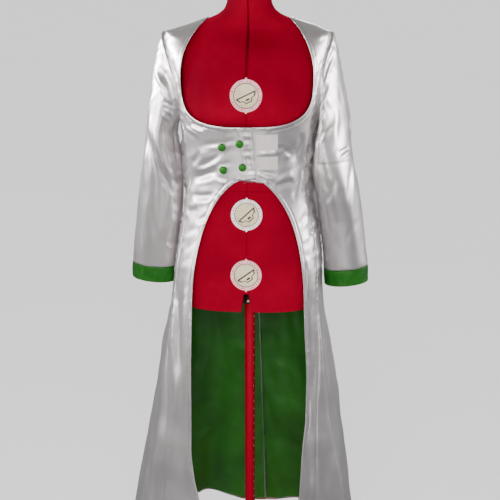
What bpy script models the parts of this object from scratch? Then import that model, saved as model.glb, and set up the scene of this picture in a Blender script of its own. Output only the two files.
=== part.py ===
"""A long-sleeved satin tailcoat with a green lining, worn by an adjustable dress form on a stand.

Metres, +Z up. The origin is the middle of the stand's underside, on the floor. The coat faces -Y, so
the wearer's right is -X. Side -1 is the wearer's right and +1 the wearer's left. A point of the coat
or the form is given by its turn, the angle round the body from the front centre, and its height.
"""

import math

import bmesh
import bpy
import numpy as np
from mathutils import Matrix, Vector

RIGHT, LEFT = -1, 1
SIDE_NAMES = {RIGHT: "right", LEFT: "left"}
MM = 0.001

# Cloth
SHELL_WALL = 1.6 * MM
LINING_WALL = 1.2 * MM
LINING_GAP = 0.6 * MM
CUFF_WALL = 2.4 * MM
SEAM_INSET = 0.2 * MM

# Coat heights
HEM = 0.130
LINING_HEM_INSET = 4 * MM
LINING_EDGE_INSET = 2 * MM
SKIRT_TOP = 0.790
ARCH_TOP = 1.100
NECKLINE_BOTTOM = 1.2135
NECKLINE_WIDEST = 1.318
NECKLINE_TOP = 1.4455
BACK_NECK = 1.428

# Front opening: the arch below the closure and the scoop above it
ARCH_CENTRE_X = 0.012
ARCH_HALF_WIDTH = {RIGHT: 0.140, LEFT: 0.122}
NECKLINE_HALF_WIDTH = {RIGHT: 0.1505, LEFT: 0.1470}
NECKLINE_SQUARENESS = {RIGHT: 3.6, LEFT: 3.3}
NECKLINE_RISE = 0.161
CLOSURE_BOTTOM_X = {RIGHT: 0.023, LEFT: -0.014}
CLOSURE_TOP_X = {RIGHT: 0.013, LEFT: -0.014}
OVERLAP_LIFT = 4.4 * MM
OVERLAP_RAMP = (-0.085, -0.035)
OVERLAP_HEIGHTS = (0.98, 1.06)

# Armhole, an oval in turn and height
ARMHOLE_TURN = 90.0
ARMHOLE_TOP = 1.412
ARMHOLE_BOTTOM = {RIGHT: 1.210, LEFT: 1.200}
ARMHOLE_HALF_TURN = {RIGHT: 22.0, LEFT: 25.0}
JUNCTION = -48.0

# Back vent
VENT_TOP = 0.930
VENT_X = {RIGHT: (0.008, 0.037), LEFT: (-0.014, -0.016)}
VENT_TUCK = (0.0028, 0.026)
VENT_TUCK_LEAD = 0.035
VENT_TUCK_FLAT = 0.070
VENT_TUCK_SPREAD = 0.075
VENT_EASE = 0.05

# Rows and columns of the panels
SCOOP_HEIGHTS = (1.356, 1.390, 1.413, 1.429, 1.439, 1.4435)
ARCH_ROWS, CLOSURE_ROWS, YOKE_ROWS, ARMHOLE_ROWS = 6, 3, 4, 9
SKIRT_HEIGHTS = (0.130, 0.180, 0.240, 0.310, 0.390, 0.475, 0.560, 0.640, 0.715, 0.790)
FRONT_COLUMNS = 7
SIDE_COLUMNS = 7
BACK_COLUMNS = 9
BACK_CENTRE_ROWS = 5
SIDE_DIP_ROWS = 6
LINING_ROWS = len(SKIRT_HEIGHTS)
ARCH_ROWS_TOP, CLOSURE_ROWS_TOP = 1.070, 1.190
SCOOP_ANGLES = (83.0, 70.0, 51.0, 34.0, 16.0, 0.0)

# Dress form
DIAL_HEIGHTS = {"bust": 1.283, "waist": 1.014, "hip": 0.876}
DIAL_RADIUS = 35.5 * MM
DIAL_FACE_RADIUS = 23.5 * MM
DIAL_RING_BORE = 24.0 * MM
DIAL_THICKNESS = 7.0 * MM
DIAL_SEAT_DEPTH = 4.6 * MM
DIAL_CLEARANCE = 0.6 * MM
DIAL_EDGE = 1.2 * MM
DIAL_FACE_SINK = 1.6 * MM
KEY_BAR_HEIGHTS = (2.0 * MM, 6.8 * MM)
KEY_BAR_SLANT = 36.0
FORM_BOTTOM = 0.784
FORM_TOP = 1.532
NOTCH_HEIGHT = 0.046
NOTCH_WIDTH = (0.025, 0.012)
NOTCH_REACH = (-0.20, -0.004)
FORM_EDGE = 0.006
FORM_EDGE_SHARE = 0.965
TORSO_COLUMNS = 36
TORSO_BODY = (0.835, 1.195, 8)
TORSO_BUST = (1.225, 1.382, 7)
TORSO_SHOULDERS = (1.398, 1.410, 1.421, 1.431, 1.439, 1.447, 1.456, 1.470)
CUTTER_REACH = 0.05
POCKET_RADIUS = 0.034
POCKET_TOP = 0.850
NECK_LEAN = 0.024
NECK_LEAN_HEIGHTS = (1.415, 1.500)
BUST_APEX = (0.068, 1.268)
BUST_SPREAD = (0.050, 0.046)
BUST_DEPTH = 0.016

# Stand
POLE_RADIUS = 12.5 * MM
SOCKET_RADIUS = 21 * MM
SOCKET_BOTTOM = 0.818
BASE_RADIUS = 0.190
BASE_BORE_FLOOR = 0.015
HUB_TOP = 0.045
COLLAR_TOP = 0.078
NECK_CAP_RADIUS = 0.045
FIT_GAP = 0.3 * MM
POLE_BORE = POLE_RADIUS + FIT_GAP
ROUND_STEPS = 24
BASE_STEPS = 32
DIAL_STEPS = 28
DIAL_FACE_STEPS = 20
BUTTON_STEPS = 14

BUTTON_RADIUS = 8.3 * MM
BUTTON_LIFT = 0.6 * MM
BUTTON_PLACES = ((-0.0535, 1.169), (-0.0141, 1.1777), (-0.0512, 1.117), (-0.0081, 1.1243))
PATCH_X = (0.0265, 0.0690)
PATCH_HEIGHTS = ((1.1650, 1.1990), (1.1185, 1.1480))
PATCH_THICKNESS = 1.0 * MM
PATCH_LIFT = 0.8 * MM
PATCH_GRID = (6, 4)

COLOURS = {
    # name: red, green, blue, roughness, metallic
    "white_satin": (0.76, 0.74, 0.74, 0.34, 0.0),
    "green_satin": (0.05, 0.24, 0.03, 0.36, 0.0),
    "red_jersey": (0.42, 0.0, 0.015, 0.80, 0.0),
    "pink_plastic": (0.85, 0.62, 0.66, 0.40, 0.0),
    "cream_plastic": (0.78, 0.70, 0.54, 0.45, 0.0),
    "dark_plastic": (0.05, 0.02, 0.02, 0.50, 0.0),
    "red_enamel": (0.45, 0.0, 0.02, 0.30, 0.0),
    "loop_tape": (0.66, 0.64, 0.64, 0.85, 0.0),
}


def table(columns, *rows):
    """A table as one array for each named column."""
    return {name: np.array([row[i] for row in rows], float) for i, name in enumerate(columns)}


KEY_BAR = table(
    ("x", "y"),
    (-15.0, -1.0),
    (-10.0, -6.5),
    (-6.0, -6.5),
    (-4.5, -11.5),
    (5.0, -11.5),
    (7.0, -6.5),
    (12.0, -5.5),
    (15.0, -1.0),
)

# Turned profiles, each point a radius and a height
NECK_CAP_PROFILE = (
    (0.0, FORM_TOP + FIT_GAP),
    (NECK_CAP_RADIUS, FORM_TOP + FIT_GAP),
    (NECK_CAP_RADIUS, FORM_TOP + 0.005),
    (NECK_CAP_RADIUS - 0.004, FORM_TOP + 0.008),
    (0.0, FORM_TOP + 0.008),
)
SOCKET_PROFILE = (
    (0.0, SOCKET_BOTTOM),
    (SOCKET_RADIUS - 0.003, SOCKET_BOTTOM),
    (SOCKET_RADIUS, SOCKET_BOTTOM + 0.003),
    (SOCKET_RADIUS, POCKET_TOP - FIT_GAP),
    (0.0, POCKET_TOP - FIT_GAP),
)
BASE_PROFILE = (
    (0.0, 0.0),
    (BASE_RADIUS - 0.004, 0.0),
    (BASE_RADIUS, 0.004),
    (BASE_RADIUS, 0.010),
    (BASE_RADIUS - 0.006, 0.015),
    (0.120, 0.021),
    (0.060, 0.027),
    (0.034, 0.034),
    (0.028, HUB_TOP),
    (POLE_BORE, HUB_TOP),
    (POLE_BORE, BASE_BORE_FLOOR),
    (0.0, BASE_BORE_FLOOR),
)
COLLAR_PROFILE = (
    (POLE_BORE, HUB_TOP + FIT_GAP),
    (0.021, HUB_TOP + FIT_GAP),
    (0.022, HUB_TOP + 0.0023),
    (0.022, COLLAR_TOP - 0.003),
    (0.020, COLLAR_TOP),
    (POLE_BORE, COLLAR_TOP),
)
# Shares of the button's radius
BUTTON_PROFILE = (
    (0.0, 0.0),
    (0.80, 0.0),
    (1.0, 0.16),
    (0.96, 0.34),
    (0.80, 0.50),
    (0.48, 0.60),
    (0.0, 0.64),
)

FORM_SECTIONS = table(
    ("height", "half_width", "front", "back", "roundness"),
    (0.784, 0.166, 0.124, 0.122, 2.9),
    (0.860, 0.168, 0.127, 0.128, 2.7),
    (0.930, 0.160, 0.121, 0.121, 2.5),
    (1.000, 0.143, 0.112, 0.106, 2.3),
    (1.065, 0.132, 0.105, 0.095, 2.3),
    (1.130, 0.137, 0.107, 0.096, 2.3),
    (1.200, 0.149, 0.116, 0.101, 2.4),
    (1.260, 0.157, 0.124, 0.106, 2.5),
    (1.310, 0.160, 0.121, 0.109, 2.5),
    (1.350, 0.165, 0.104, 0.103, 2.5),
    (1.380, 0.166, 0.084, 0.090, 2.4),
    (1.396, 0.163, 0.071, 0.079, 2.3),
    (1.408, 0.157, 0.062, 0.071, 2.2),
    (1.420, 0.145, 0.056, 0.065, 2.1),
    (1.430, 0.1270, 0.0540, 0.0615, 2.0),
    (1.438, 0.1045, 0.0525, 0.0585, 2.0),
    (1.4455, 0.0845, 0.0505, 0.0555, 2.0),
    (1.453, 0.069, 0.049, 0.052, 2.0),
    (1.466, 0.055, 0.048, 0.050, 2.0),
    (1.484, 0.049, 0.048, 0.049, 2.0),
    (1.532, 0.048, 0.048, 0.048, 2.0),
)

COAT_SECTIONS = table(
    ("height", "shift", "half_width", "front", "back", "roundness"),
    (0.130, -0.0195, 0.289, 0.178, 0.212, 2.3),
    (0.230, -0.0175, 0.2745, 0.172, 0.204, 2.3),
    (0.370, -0.014, 0.252, 0.162, 0.190, 2.3),
    (0.510, -0.0115, 0.2295, 0.153, 0.176, 2.3),
    (0.650, -0.010, 0.207, 0.145, 0.161, 2.5),
    (0.800, -0.006, 0.182, 0.138, 0.143, 2.8),
    (0.870, -0.003, 0.176, 0.136, 0.138, 2.7),
    (0.930, 0.000, 0.169, 0.129, 0.130, 2.5),
    (0.980, 0.000, 0.160, 0.121, 0.120, 2.4),
    (1.065, 0.000, 0.149, 0.112, 0.108, 2.4),
    (1.130, 0.000, 0.151, 0.114, 0.107, 2.4),
    (1.200, 0.000, 0.159, 0.123, 0.111, 2.4),
    (1.260, 0.000, 0.165, 0.131, 0.116, 2.5),
    (1.310, -0.002, 0.173, 0.128, 0.120, 2.5),
    (1.350, -0.004, 0.181, 0.112, 0.114, 2.5),
    (1.383, -0.005, 0.188, 0.092, 0.101, 2.4),
    (1.400, -0.005, 0.190, 0.078, 0.089, 2.3),
    (1.412, -0.005, 0.187, 0.067, 0.079, 2.2),
    (1.420, -0.003, 0.167, 0.062, 0.073, 2.1),
    (1.430, 0.000, 0.137, 0.057, 0.066, 2.0),
    (1.438, 0.000, 0.114, 0.0545, 0.062, 2.0),
    (1.446, 0.000, 0.090, 0.0525, 0.058, 2.0),
    (1.454, 0.000, 0.066, 0.0505, 0.054, 2.0),
)

FRONT_EDGE = table(
    ("height", "right", "left"),
    (0.130, 0.085, 0.122),
    (0.310, 0.112, 0.130),
    (0.370, 0.125, 0.133),
    (0.440, 0.132, 0.136),
    (0.520, 0.132, 0.142),
    (0.620, 0.132, 0.143),
    (0.710, 0.130, 0.138),
    (0.790, 0.128, 0.134),
)

SIDE_FRONT_SEAM = table(
    ("height", "turn"),
    (0.130, 41.0),
    (0.250, 43.0),
    (0.400, 46.0),
    (0.540, 51.0),
    (0.800, 63.5),
    (0.920, 67.0),
    (1.000, 67.0),
    (1.070, 62.0),
    (1.130, 61.0),
    (1.195, 65.0),
    (1.236, 75.3),
)

SIDE_BACK_SEAM = table(
    ("height", "turn"),
    (0.130, 118.0),
    (0.900, 116.0),
    (1.070, 119.0),
    (1.180, 116.0),
    (1.236, 104.7),
)

# Folds of the skirt: depth is how far the hem stands out, or in where it is negative
SKIRT_FOLD_TOP = 0.900
SKIRT_FOLDS = {
    RIGHT: table(
        ("turn", "spread", "depth"),
        (37.0, 7.0, -0.008),
        (58.0, 9.0, 0.010),
        (80.0, 9.0, -0.012),
        (103.0, 10.0, 0.016),
        (124.0, 9.0, -0.014),
        (139.0, 8.0, 0.012),
        (151.5, 6.0, -0.008),
        (164.0, 6.5, 0.016),
        (178.0, 7.0, -0.012),
    ),
    LEFT: table(
        ("turn", "spread", "depth"),
        (42.0, 9.0, -0.014),
        (66.0, 10.0, 0.009),
        (88.0, 9.0, -0.011),
        (109.0, 11.0, 0.015),
        (131.0, 9.0, -0.016),
        (151.0, 10.0, 0.015),
        (172.0, 8.0, -0.006),
    ),
}

# How far the hem hangs below its level, round the skirt
HEM_DROP_TOP = 0.450
HEM_DROP = table(
    ("turn", "right", "left"),
    (30.0, -0.006, -0.004),
    (80.0, -0.010, -0.006),
    (125.0, -0.004, 0.000),
    (155.0, -0.002, 0.014),
    (170.0, 0.000, 0.020),
    (185.0, 0.008, 0.024),
)

# Ease at the sides: behind the front seam the cloth hangs clear of the waist, most at this turn and height,
# and is back on its section below the armhole
SIDE_EASE = {
    RIGHT: {"turn": 110.0, "spread": 18.0, "height": 1.120, "reach": 0.085, "depth": 0.031, "ends": (1.135, 1.205)},
    LEFT: {"turn": 114.0, "spread": 16.0, "height": 1.045, "reach": 0.090, "depth": 0.031, "ends": (1.100, 1.195)},
}
EASE_FLOOR = 0.004

# Drag folds of the front: each runs from start to end across the front, as x and height
DRAG_FOLDS = table(
    ("start_x", "start_height", "end_x", "end_height", "spread", "depth"),
    (-0.140, 1.075, -0.070, 1.120, 0.016, -0.0035),
    (-0.140, 1.130, -0.080, 1.160, 0.014, 0.0025),
    (0.095, 1.180, 0.125, 1.090, 0.016, -0.0030),
)

# The sleeve's rings up the arm: swing draws their front inwards, tilt lifts their outer side
SLEEVE_RINGS = {
    RIGHT: table(
        ("height", "x", "y", "half_width", "half_depth", "swing", "tilt"),
        (0.815, 0.2405, 0.040, 0.0545, 0.0440, 0.00, 5.5),
        (0.855, 0.2380, 0.036, 0.0535, 0.0440, 0.00, 5.5),
        (0.905, 0.2320, 0.030, 0.0540, 0.0450, 0.00, 5.5),
        (0.980, 0.2205, 0.020, 0.0545, 0.0460, 0.05, 6.0),
        (1.050, 0.2153, 0.012, 0.0493, 0.0480, 0.08, 7.0),
        (1.120, 0.2150, 0.006, 0.0390, 0.0520, 0.10, 8.0),
        (1.185, 0.2113, 0.003, 0.0333, 0.0560, 0.10, 9.0),
    ),
    LEFT: table(
        ("height", "x", "y", "half_width", "half_depth", "swing", "tilt"),
        (0.826, 0.2320, 0.004, 0.0530, 0.0450, 0.05, 5.5),
        (0.866, 0.2295, 0.002, 0.0530, 0.0450, 0.05, 5.5),
        (0.910, 0.2250, 0.000, 0.0510, 0.0460, 0.08, 5.5),
        (0.980, 0.2158, -0.006, 0.0508, 0.0480, 0.15, 6.0),
        (1.050, 0.2070, -0.020, 0.0467, 0.0490, 0.30, 7.0),
        (1.120, 0.1960, -0.028, 0.0420, 0.0510, 0.45, 8.0),
        (1.180, 0.1935, -0.026, 0.0320, 0.0540, 0.55, 9.0),
    ),
}
CAP_RINGS = 5
SLEEVE_ARM_RINGS = 9
CUFF_RINGS = 3
CUFF_TOP = {RIGHT: 0.855, LEFT: 0.866}
CAP_REACH = (0.030, 0.060)
CAP_LIFT = 0.040
CAP_ARRIVAL = (0.020, 0.180)
SLOPE_STEP = 0.020

# Folds of the sleeve: round is the angle round the sleeve, 0 at its front and 90 at its outside
SLEEVE_FOLDS = table(
    ("round", "height", "round_spread", "height_spread", "depth"),
    (-30.0, 1.200, 26.0, 0.020, -0.0045),
    (20.0, 1.235, 20.0, 0.040, -0.0040),
    (-10.0, 1.060, 14.0, 0.110, -0.0045),
    (35.0, 1.010, 16.0, 0.100, 0.0035),
    (120.0, 1.150, 30.0, 0.050, -0.0040),
    (200.0, 1.120, 24.0, 0.060, -0.0040),
)


def smooth_step(value, low, high):
    share = np.clip((value - low) / (high - low), 0.0, 1.0)
    return share * share * (3.0 - 2.0 * share)


def smooth_column(rows, name, at, key="height"):
    """A monotone cubic through a table's column, which never bulges past its rows."""
    known, values = rows[key], rows[name]
    widths = np.diff(known)
    slopes = np.diff(values) / widths
    product, total = slopes[:-1] * slopes[1:], slopes[:-1] + slopes[1:]
    inner = np.where(product > 0, 2.0 * product / np.where(total == 0, 1.0, total), 0.0)
    tangents = np.concatenate([slopes[:1], inner, slopes[-1:]])
    at = np.clip(np.asarray(at, float), known[0], known[-1])
    i = np.clip(np.searchsorted(known, at, side="right") - 1, 0, len(widths) - 1)
    share = (at - known[i]) / widths[i]
    rise = 3.0 * share**2 - 2.0 * share**3
    start = share**3 - 2.0 * share**2 + share
    end = share**3 - share**2
    along = (start * tangents[i] + end * tangents[i + 1]) * widths[i]
    return values[i] * (1.0 - rise) + values[i + 1] * rise + along


def oval(sections, side, turn, height):
    """The point of a body section, a rounded oval with its own front and back depth."""
    angle = np.radians(turn)
    power = 2.0 / smooth_column(sections, "roundness", height)
    across, along = np.sin(angle), np.cos(angle)
    x = side * smooth_column(sections, "half_width", height) * np.sign(across) * np.abs(across) ** power
    front = smooth_column(sections, "front", height)
    back = smooth_column(sections, "back", height)
    y = np.where(along > 0, -front, back) * np.abs(along) ** power
    if "shift" in sections:
        x = x + smooth_column(sections, "shift", height)
    y = y - NECK_LEAN * smooth_step(height, *NECK_LEAN_HEIGHTS)
    return np.stack([x, y, np.broadcast_to(height, x.shape)], axis=-1)


def bust(x, turn, height):
    """How far the two soft bust mounds stand forward."""
    across = (np.abs(x) - BUST_APEX[0]) / BUST_SPREAD[0]
    up = (height - BUST_APEX[1]) / BUST_SPREAD[1]
    front = np.clip(np.cos(np.radians(turn)) * 2.0, 0.0, 1.0)
    return BUST_DEPTH * np.exp(-(across**2) - up**2) * front


def form_point(side, turn, height):
    """The dress form's surface: its section and two soft bust mounds."""
    turn, height = np.broadcast_arrays(np.asarray(turn, float), np.asarray(height, float))
    point = oval(FORM_SECTIONS, side, turn, height)
    point[..., 1] -= bust(point[..., 0], turn, height)
    return point


def surface_normal(point_at, side, turn, height):
    """The outward normal, from the surface's slopes either way."""
    turn_step, height_step = 0.5, 0.002
    round_it = point_at(side, turn + turn_step, height) - point_at(side, turn - turn_step, height)
    up = point_at(side, turn, height + height_step) - point_at(side, turn, height - height_step)
    normal = side * np.cross(round_it, up)
    return normal / np.linalg.norm(normal, axis=-1, keepdims=True)


def skirt_fold(side, turn, height):
    """How far the skirt stands out of its section, growing from the hip to the hem."""
    folds = SKIRT_FOLDS[side]
    growth = np.clip((SKIRT_FOLD_TOP - height) / (SKIRT_FOLD_TOP - HEM), 0.0, 1.0) ** 1.25
    bumps = folds["depth"] * np.exp(-(((turn[..., None] - folds["turn"]) / folds["spread"]) ** 2))
    return growth * bumps.sum(axis=-1)


def side_ease(side, turn, height):
    """How far the cloth at the side stands clear of its section between the underarm and the hip."""
    ease = SIDE_EASE[side]
    round_it = (turn - ease["turn"]) / ease["spread"]
    up = (height - ease["height"]) / ease["reach"]
    swell = np.maximum(np.exp(-(round_it**2) - up**2) - EASE_FLOOR, 0.0)
    return ease["depth"] * swell * (1.0 - smooth_step(height, *ease["ends"]))


def drag_fold(x, height):
    """The pulled folds of the front, each a soft trough or ridge along a line."""
    out = np.zeros_like(x)
    for i in range(len(DRAG_FOLDS["depth"])):
        start = np.array([DRAG_FOLDS["start_x"][i], DRAG_FOLDS["start_height"][i]])
        run = np.array([DRAG_FOLDS["end_x"][i], DRAG_FOLDS["end_height"][i]]) - start
        away_x, away_z = x - start[0], height - start[1]
        share = (away_x * run[0] + away_z * run[1]) / (run @ run)
        across = (away_x * run[1] - away_z * run[0]) / np.sqrt(run @ run)
        ends = np.exp(-(((share - 0.5) / 0.45) ** 4))
        out += DRAG_FOLDS["depth"][i] * ends * np.exp(-((across / DRAG_FOLDS["spread"][i]) ** 2))
    return out


def vent_tuck(side, x, turn, height):
    """The right tail passes inside the left one at the centre back."""
    if side == LEFT:
        return np.zeros_like(x)
    drop = np.clip((VENT_TOP - height) / (VENT_TOP - HEM), 0.0, 1.0)
    depth = VENT_TUCK[0] + (VENT_TUCK[1] - VENT_TUCK[0]) * drop
    lead = smooth_step(VENT_TOP + VENT_TUCK_LEAD - height, 0.0, VENT_TUCK_LEAD)
    near = 1.0 - smooth_step(np.abs(x), VENT_TUCK_FLAT, VENT_TUCK_FLAT + VENT_TUCK_SPREAD)
    return -depth * lead * near * (turn > 90.0)


def coat_body(side, turn, height):
    """The coat's outer surface: its section, its folds, the front's overlap and the bust."""
    turn, height = np.broadcast_arrays(np.asarray(turn, float), np.asarray(height, float))
    point = oval(COAT_SECTIONS, side, turn, height)
    x = point[..., 0]
    on_front = turn < 90.0
    overlap = OVERLAP_LIFT * smooth_step(x, *OVERLAP_RAMP) * smooth_step(height, *OVERLAP_HEIGHTS)
    out = (
        skirt_fold(side, turn, height)
        + side_ease(side, turn, height)
        + vent_tuck(side, x, turn, height)
        + drag_fold(x, height) * on_front
        + overlap * on_front * (side == RIGHT)
    )
    flat = point.copy()
    flat[..., 2] = 0.0
    point = point + flat / np.linalg.norm(flat, axis=-1, keepdims=True) * out[..., None]
    point[..., 1] -= bust(x, turn, height)
    return point


def turn_at(side, x, height):
    """The turn, on the front half, at which the coat's surface has this x."""
    turns = np.linspace(-20.0, 90.0, 221)
    found = [side * coat_body(side, turns, np.full_like(turns, h))[:, 0] for h in height]
    return np.array([np.interp(side * a, row, turns) for a, row in zip(x, found)])


def armhole(side, round_it):
    """Turn and height on the armhole: round_it is 0 at its front, 90 at the top, -90 under the arm."""
    angle = np.radians(round_it)
    turn = ARMHOLE_TURN - ARMHOLE_HALF_TURN[side] * np.cos(angle)
    middle = (ARMHOLE_TOP + ARMHOLE_BOTTOM[side]) / 2.0
    return turn, middle + (ARMHOLE_TOP - middle) * np.sin(angle)


def front_edge_line(side):
    """The front panel's inner edge from the hem up: skirt edge, arch, closure, scoop to the shoulder."""
    skirt_height = np.array(SKIRT_HEIGHTS)
    skirt_x = side * smooth_column(FRONT_EDGE, SIDE_NAMES[side], skirt_height)
    half_width = ARCH_HALF_WIDTH[side]
    last = math.degrees(math.acos(side * (CLOSURE_BOTTOM_X[side] - ARCH_CENTRE_X) / half_width))
    angle = np.radians(np.linspace(0.0, last, ARCH_ROWS + 1)[1:])
    arch_x = ARCH_CENTRE_X + side * half_width * np.cos(angle)
    arch_height = SKIRT_TOP + (ARCH_TOP - SKIRT_TOP) * np.sin(angle)
    share = np.linspace(0.0, 1.0, CLOSURE_ROWS + 1)[1:]
    closure_x = CLOSURE_BOTTOM_X[side] + (CLOSURE_TOP_X[side] - CLOSURE_BOTTOM_X[side]) * share
    closure_height = arch_height[-1] + (NECKLINE_BOTTOM - arch_height[-1]) * share
    low_x, low_height = scoop_low(side)
    high_height = np.append(SCOOP_HEIGHTS, NECKLINE_TOP)
    high_x = scoop_high(side, high_height)
    x = np.concatenate([skirt_x, arch_x, closure_x, low_x, high_x])
    height = np.concatenate([skirt_height, arch_height, closure_height, low_height, high_height])
    turn = turn_at(side, x, height)
    turn[-1] = ARMHOLE_TURN
    return turn, height


def scoop_low(side):
    """The scoop from the closure's top to its widest: x and height on a squarish oval."""
    depth = NECKLINE_WIDEST - NECKLINE_BOTTOM
    angle = np.radians(SCOOP_ANGLES)
    power = 2.0 / NECKLINE_SQUARENESS[side]
    return (
        side * NECKLINE_HALF_WIDTH[side] * np.cos(angle) ** power,
        NECKLINE_WIDEST - depth * np.sin(angle) ** power,
    )


def scoop_high(side, height):
    """The scoop above its widest, an oval that closes in towards the neck."""
    closing = np.sqrt(1.0 - ((height - NECKLINE_WIDEST) / NECKLINE_RISE) ** 2)
    return side * NECKLINE_HALF_WIDTH[side] * closing


def seam_heights(side):
    """Heights of the rows where the front and side panels meet, from the hem to the armhole."""
    _, junction = armhole(side, JUNCTION)
    arch = np.linspace(SKIRT_TOP, ARCH_ROWS_TOP, ARCH_ROWS + 1)[1:]
    closure = np.linspace(ARCH_ROWS_TOP, CLOSURE_ROWS_TOP, CLOSURE_ROWS + 1)[1:]
    yoke = np.linspace(CLOSURE_ROWS_TOP, junction, YOKE_ROWS + 1)[1:]
    return np.concatenate([SKIRT_HEIGHTS, arch, closure, yoke])


def seam_line(side, seam, junction_round):
    """A seam from the hem to the armhole, then the armhole's edge on that side up to the shoulder."""
    heights = seam_heights(side)
    turns = smooth_column(seam, "turn", heights)
    turns[-1] = armhole(side, junction_round)[0]
    top_round = 90.0 if junction_round > -90.0 else -270.0
    rounds = np.linspace(junction_round, top_round, ARMHOLE_ROWS + 1)[1:]
    edge_turn, edge_height = armhole(side, rounds)
    return np.concatenate([turns, edge_turn]), np.concatenate([heights, edge_height])


def back_edge_line(side):
    """The back panel's inner edge: the vent, the centre back seam, then the neck to the shoulder."""
    low = seam_heights(side)
    centre = np.linspace(low[-1], BACK_NECK, BACK_CENTRE_ROWS + 1)[1:]
    neck_rows = ARMHOLE_ROWS - BACK_CENTRE_ROWS
    neck = np.linspace(0.0, 1.0, neck_rows + 1)[1:]
    heights = np.concatenate([low, centre, BACK_NECK + (NECKLINE_TOP - BACK_NECK) * neck**1.5])
    turns = np.full(len(heights), 180.0)
    turns[len(low) + len(centre):] = 180.0 - 90.0 * neck
    half_width = smooth_column(COAT_SECTIONS, "half_width", heights)
    shift = smooth_column(COAT_SECTIONS, "shift", heights)
    share = np.clip((VENT_TOP - heights) / (VENT_TOP - HEM), 0.0, 1.0)
    edge_x = VENT_X[side][0] + (VENT_X[side][1] - VENT_X[side][0]) * share
    extension = side * (edge_x - shift) * smooth_step(VENT_TOP - heights, 0.0, VENT_EASE)
    power = smooth_column(COAT_SECTIONS, "roundness", heights) / 2.0
    swing = np.sign(extension) * np.degrees(np.arcsin((np.abs(extension) / half_width) ** power))
    return turns - swing, heights


def ruled(first, last, columns):
    """Turn and height on even columns from one edge to another."""
    share = np.linspace(0.0, 1.0, columns + 1)
    return [a[:, None] * (1.0 - share) + b[:, None] * share for a, b in zip(first, last)]


def coat_grid(side):
    """Turn and height of every panel point: front, side and back, on shared rows."""
    front = front_edge_line(side)
    side_front = seam_line(side, SIDE_FRONT_SEAM, JUNCTION)
    side_back = seam_line(side, SIDE_BACK_SEAM, -180.0 - JUNCTION)
    back = back_edge_line(side)
    front_grid = ruled(front, side_front, FRONT_COLUMNS)
    back_grid = ruled(side_back, back, BACK_COLUMNS)
    rows = len(seam_heights(side))
    rounds = np.linspace(JUNCTION, -180.0 - JUNCTION, SIDE_COLUMNS + 1)
    top_turn, top_height = armhole(side, rounds)
    column = (top_turn - top_turn[0]) / (top_turn[-1] - top_turn[0])
    first, last = side_front[0][:rows, None], side_back[0][:rows, None]
    dip = smooth_step(np.arange(rows), rows - SIDE_DIP_ROWS, rows - 1)[:, None]
    dip = dip * (top_height - top_height[0])
    side_grid = [first + (last - first) * column, side_front[1][:rows, None] + dip]
    panels = {"front": front_grid, "side": side_grid, "back": back_grid}
    return {
        name: (turn, height - hem_drop(side, turn, height))
        for name, (turn, height) in panels.items()
    }


def hem_drop(side, turn, height):
    """How far a point hangs lower than on a level hem, fading out up the skirt."""
    fade = np.clip((HEM_DROP_TOP - height) / (HEM_DROP_TOP - HEM), 0.0, 1.0)
    return smooth_column(HEM_DROP, SIDE_NAMES[side], turn, key="turn") * fade**2


def new_object(name, mesh, material):
    piece = bpy.data.objects.new(name, mesh)
    bpy.context.scene.collection.objects.link(piece)
    piece.data.materials.append(material)
    return piece


def smooth_shaded(piece, degrees=40.0):
    piece.data.shade_smooth()
    piece.data.set_sharp_from_angle(angle=math.radians(degrees))
    return piece


def mesh_of(name, points, faces):
    """A mesh whose faces are turned outwards."""
    mesh = bpy.data.meshes.new(name)
    mesh.from_pydata(points.tolist(), [], faces)
    shape = bmesh.new()
    shape.from_mesh(mesh)
    bmesh.ops.recalc_face_normals(shape, faces=shape.faces)
    shape.to_mesh(mesh)
    shape.free()
    return mesh


def grid_faces(rows, columns, start, across=1):
    """Two triangles for each cell of a grid, all with the same diagonal."""
    faces = []
    for i in range(rows - 1):
        for j in range(columns - across):
            a, b = start + i * columns + j, start + i * columns + (j + 1) % columns
            c, d = b + columns, a + columns
            faces += [(a, b, c), (a, c, d)]
    return faces


def rim_faces(outer_loop, inner_loop):
    """Two triangles for each step along two matching loops."""
    faces = []
    for k in range(len(outer_loop)):
        n = (k + 1) % len(outer_loop)
        faces.append((outer_loop[k], outer_loop[n], inner_loop[n]))
        faces.append((outer_loop[k], inner_loop[n], inner_loop[k]))
    return faces


def sheet_wall(name, outer, inner, material):
    """A cloth panel as a closed wall between two matching grids of points."""
    rows, columns = outer.shape[:2]
    count = rows * columns
    points = np.concatenate([outer.reshape(-1, 3), inner.reshape(-1, 3)])
    edge = (
        [j for j in range(columns)]
        + [i * columns + columns - 1 for i in range(1, rows)]
        + [(rows - 1) * columns + j for j in range(columns - 2, -1, -1)]
        + [i * columns for i in range(rows - 2, 0, -1)]
    )
    faces = grid_faces(rows, columns, 0)
    faces += [face[::-1] for face in grid_faces(rows, columns, count)]
    faces += rim_faces(edge, [k + count for k in edge])
    return smooth_shaded(new_object(name, mesh_of(name, points, faces), material))


def tube_wall(name, outer, inner, material):
    """A cloth tube as a closed wall between two matching stacks of rings."""
    rows, columns = outer.shape[:2]
    count = rows * columns
    points = np.concatenate([outer.reshape(-1, 3), inner.reshape(-1, 3)])
    faces = grid_faces(rows, columns, 0, across=0)
    faces += [face[::-1] for face in grid_faces(rows, columns, count, across=0)]
    for first in (0, (rows - 1) * columns):
        loop = [first + j for j in range(columns)]
        faces += rim_faces(loop, [k + count for k in loop])
    return smooth_shaded(new_object(name, mesh_of(name, points, faces), material))


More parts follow.
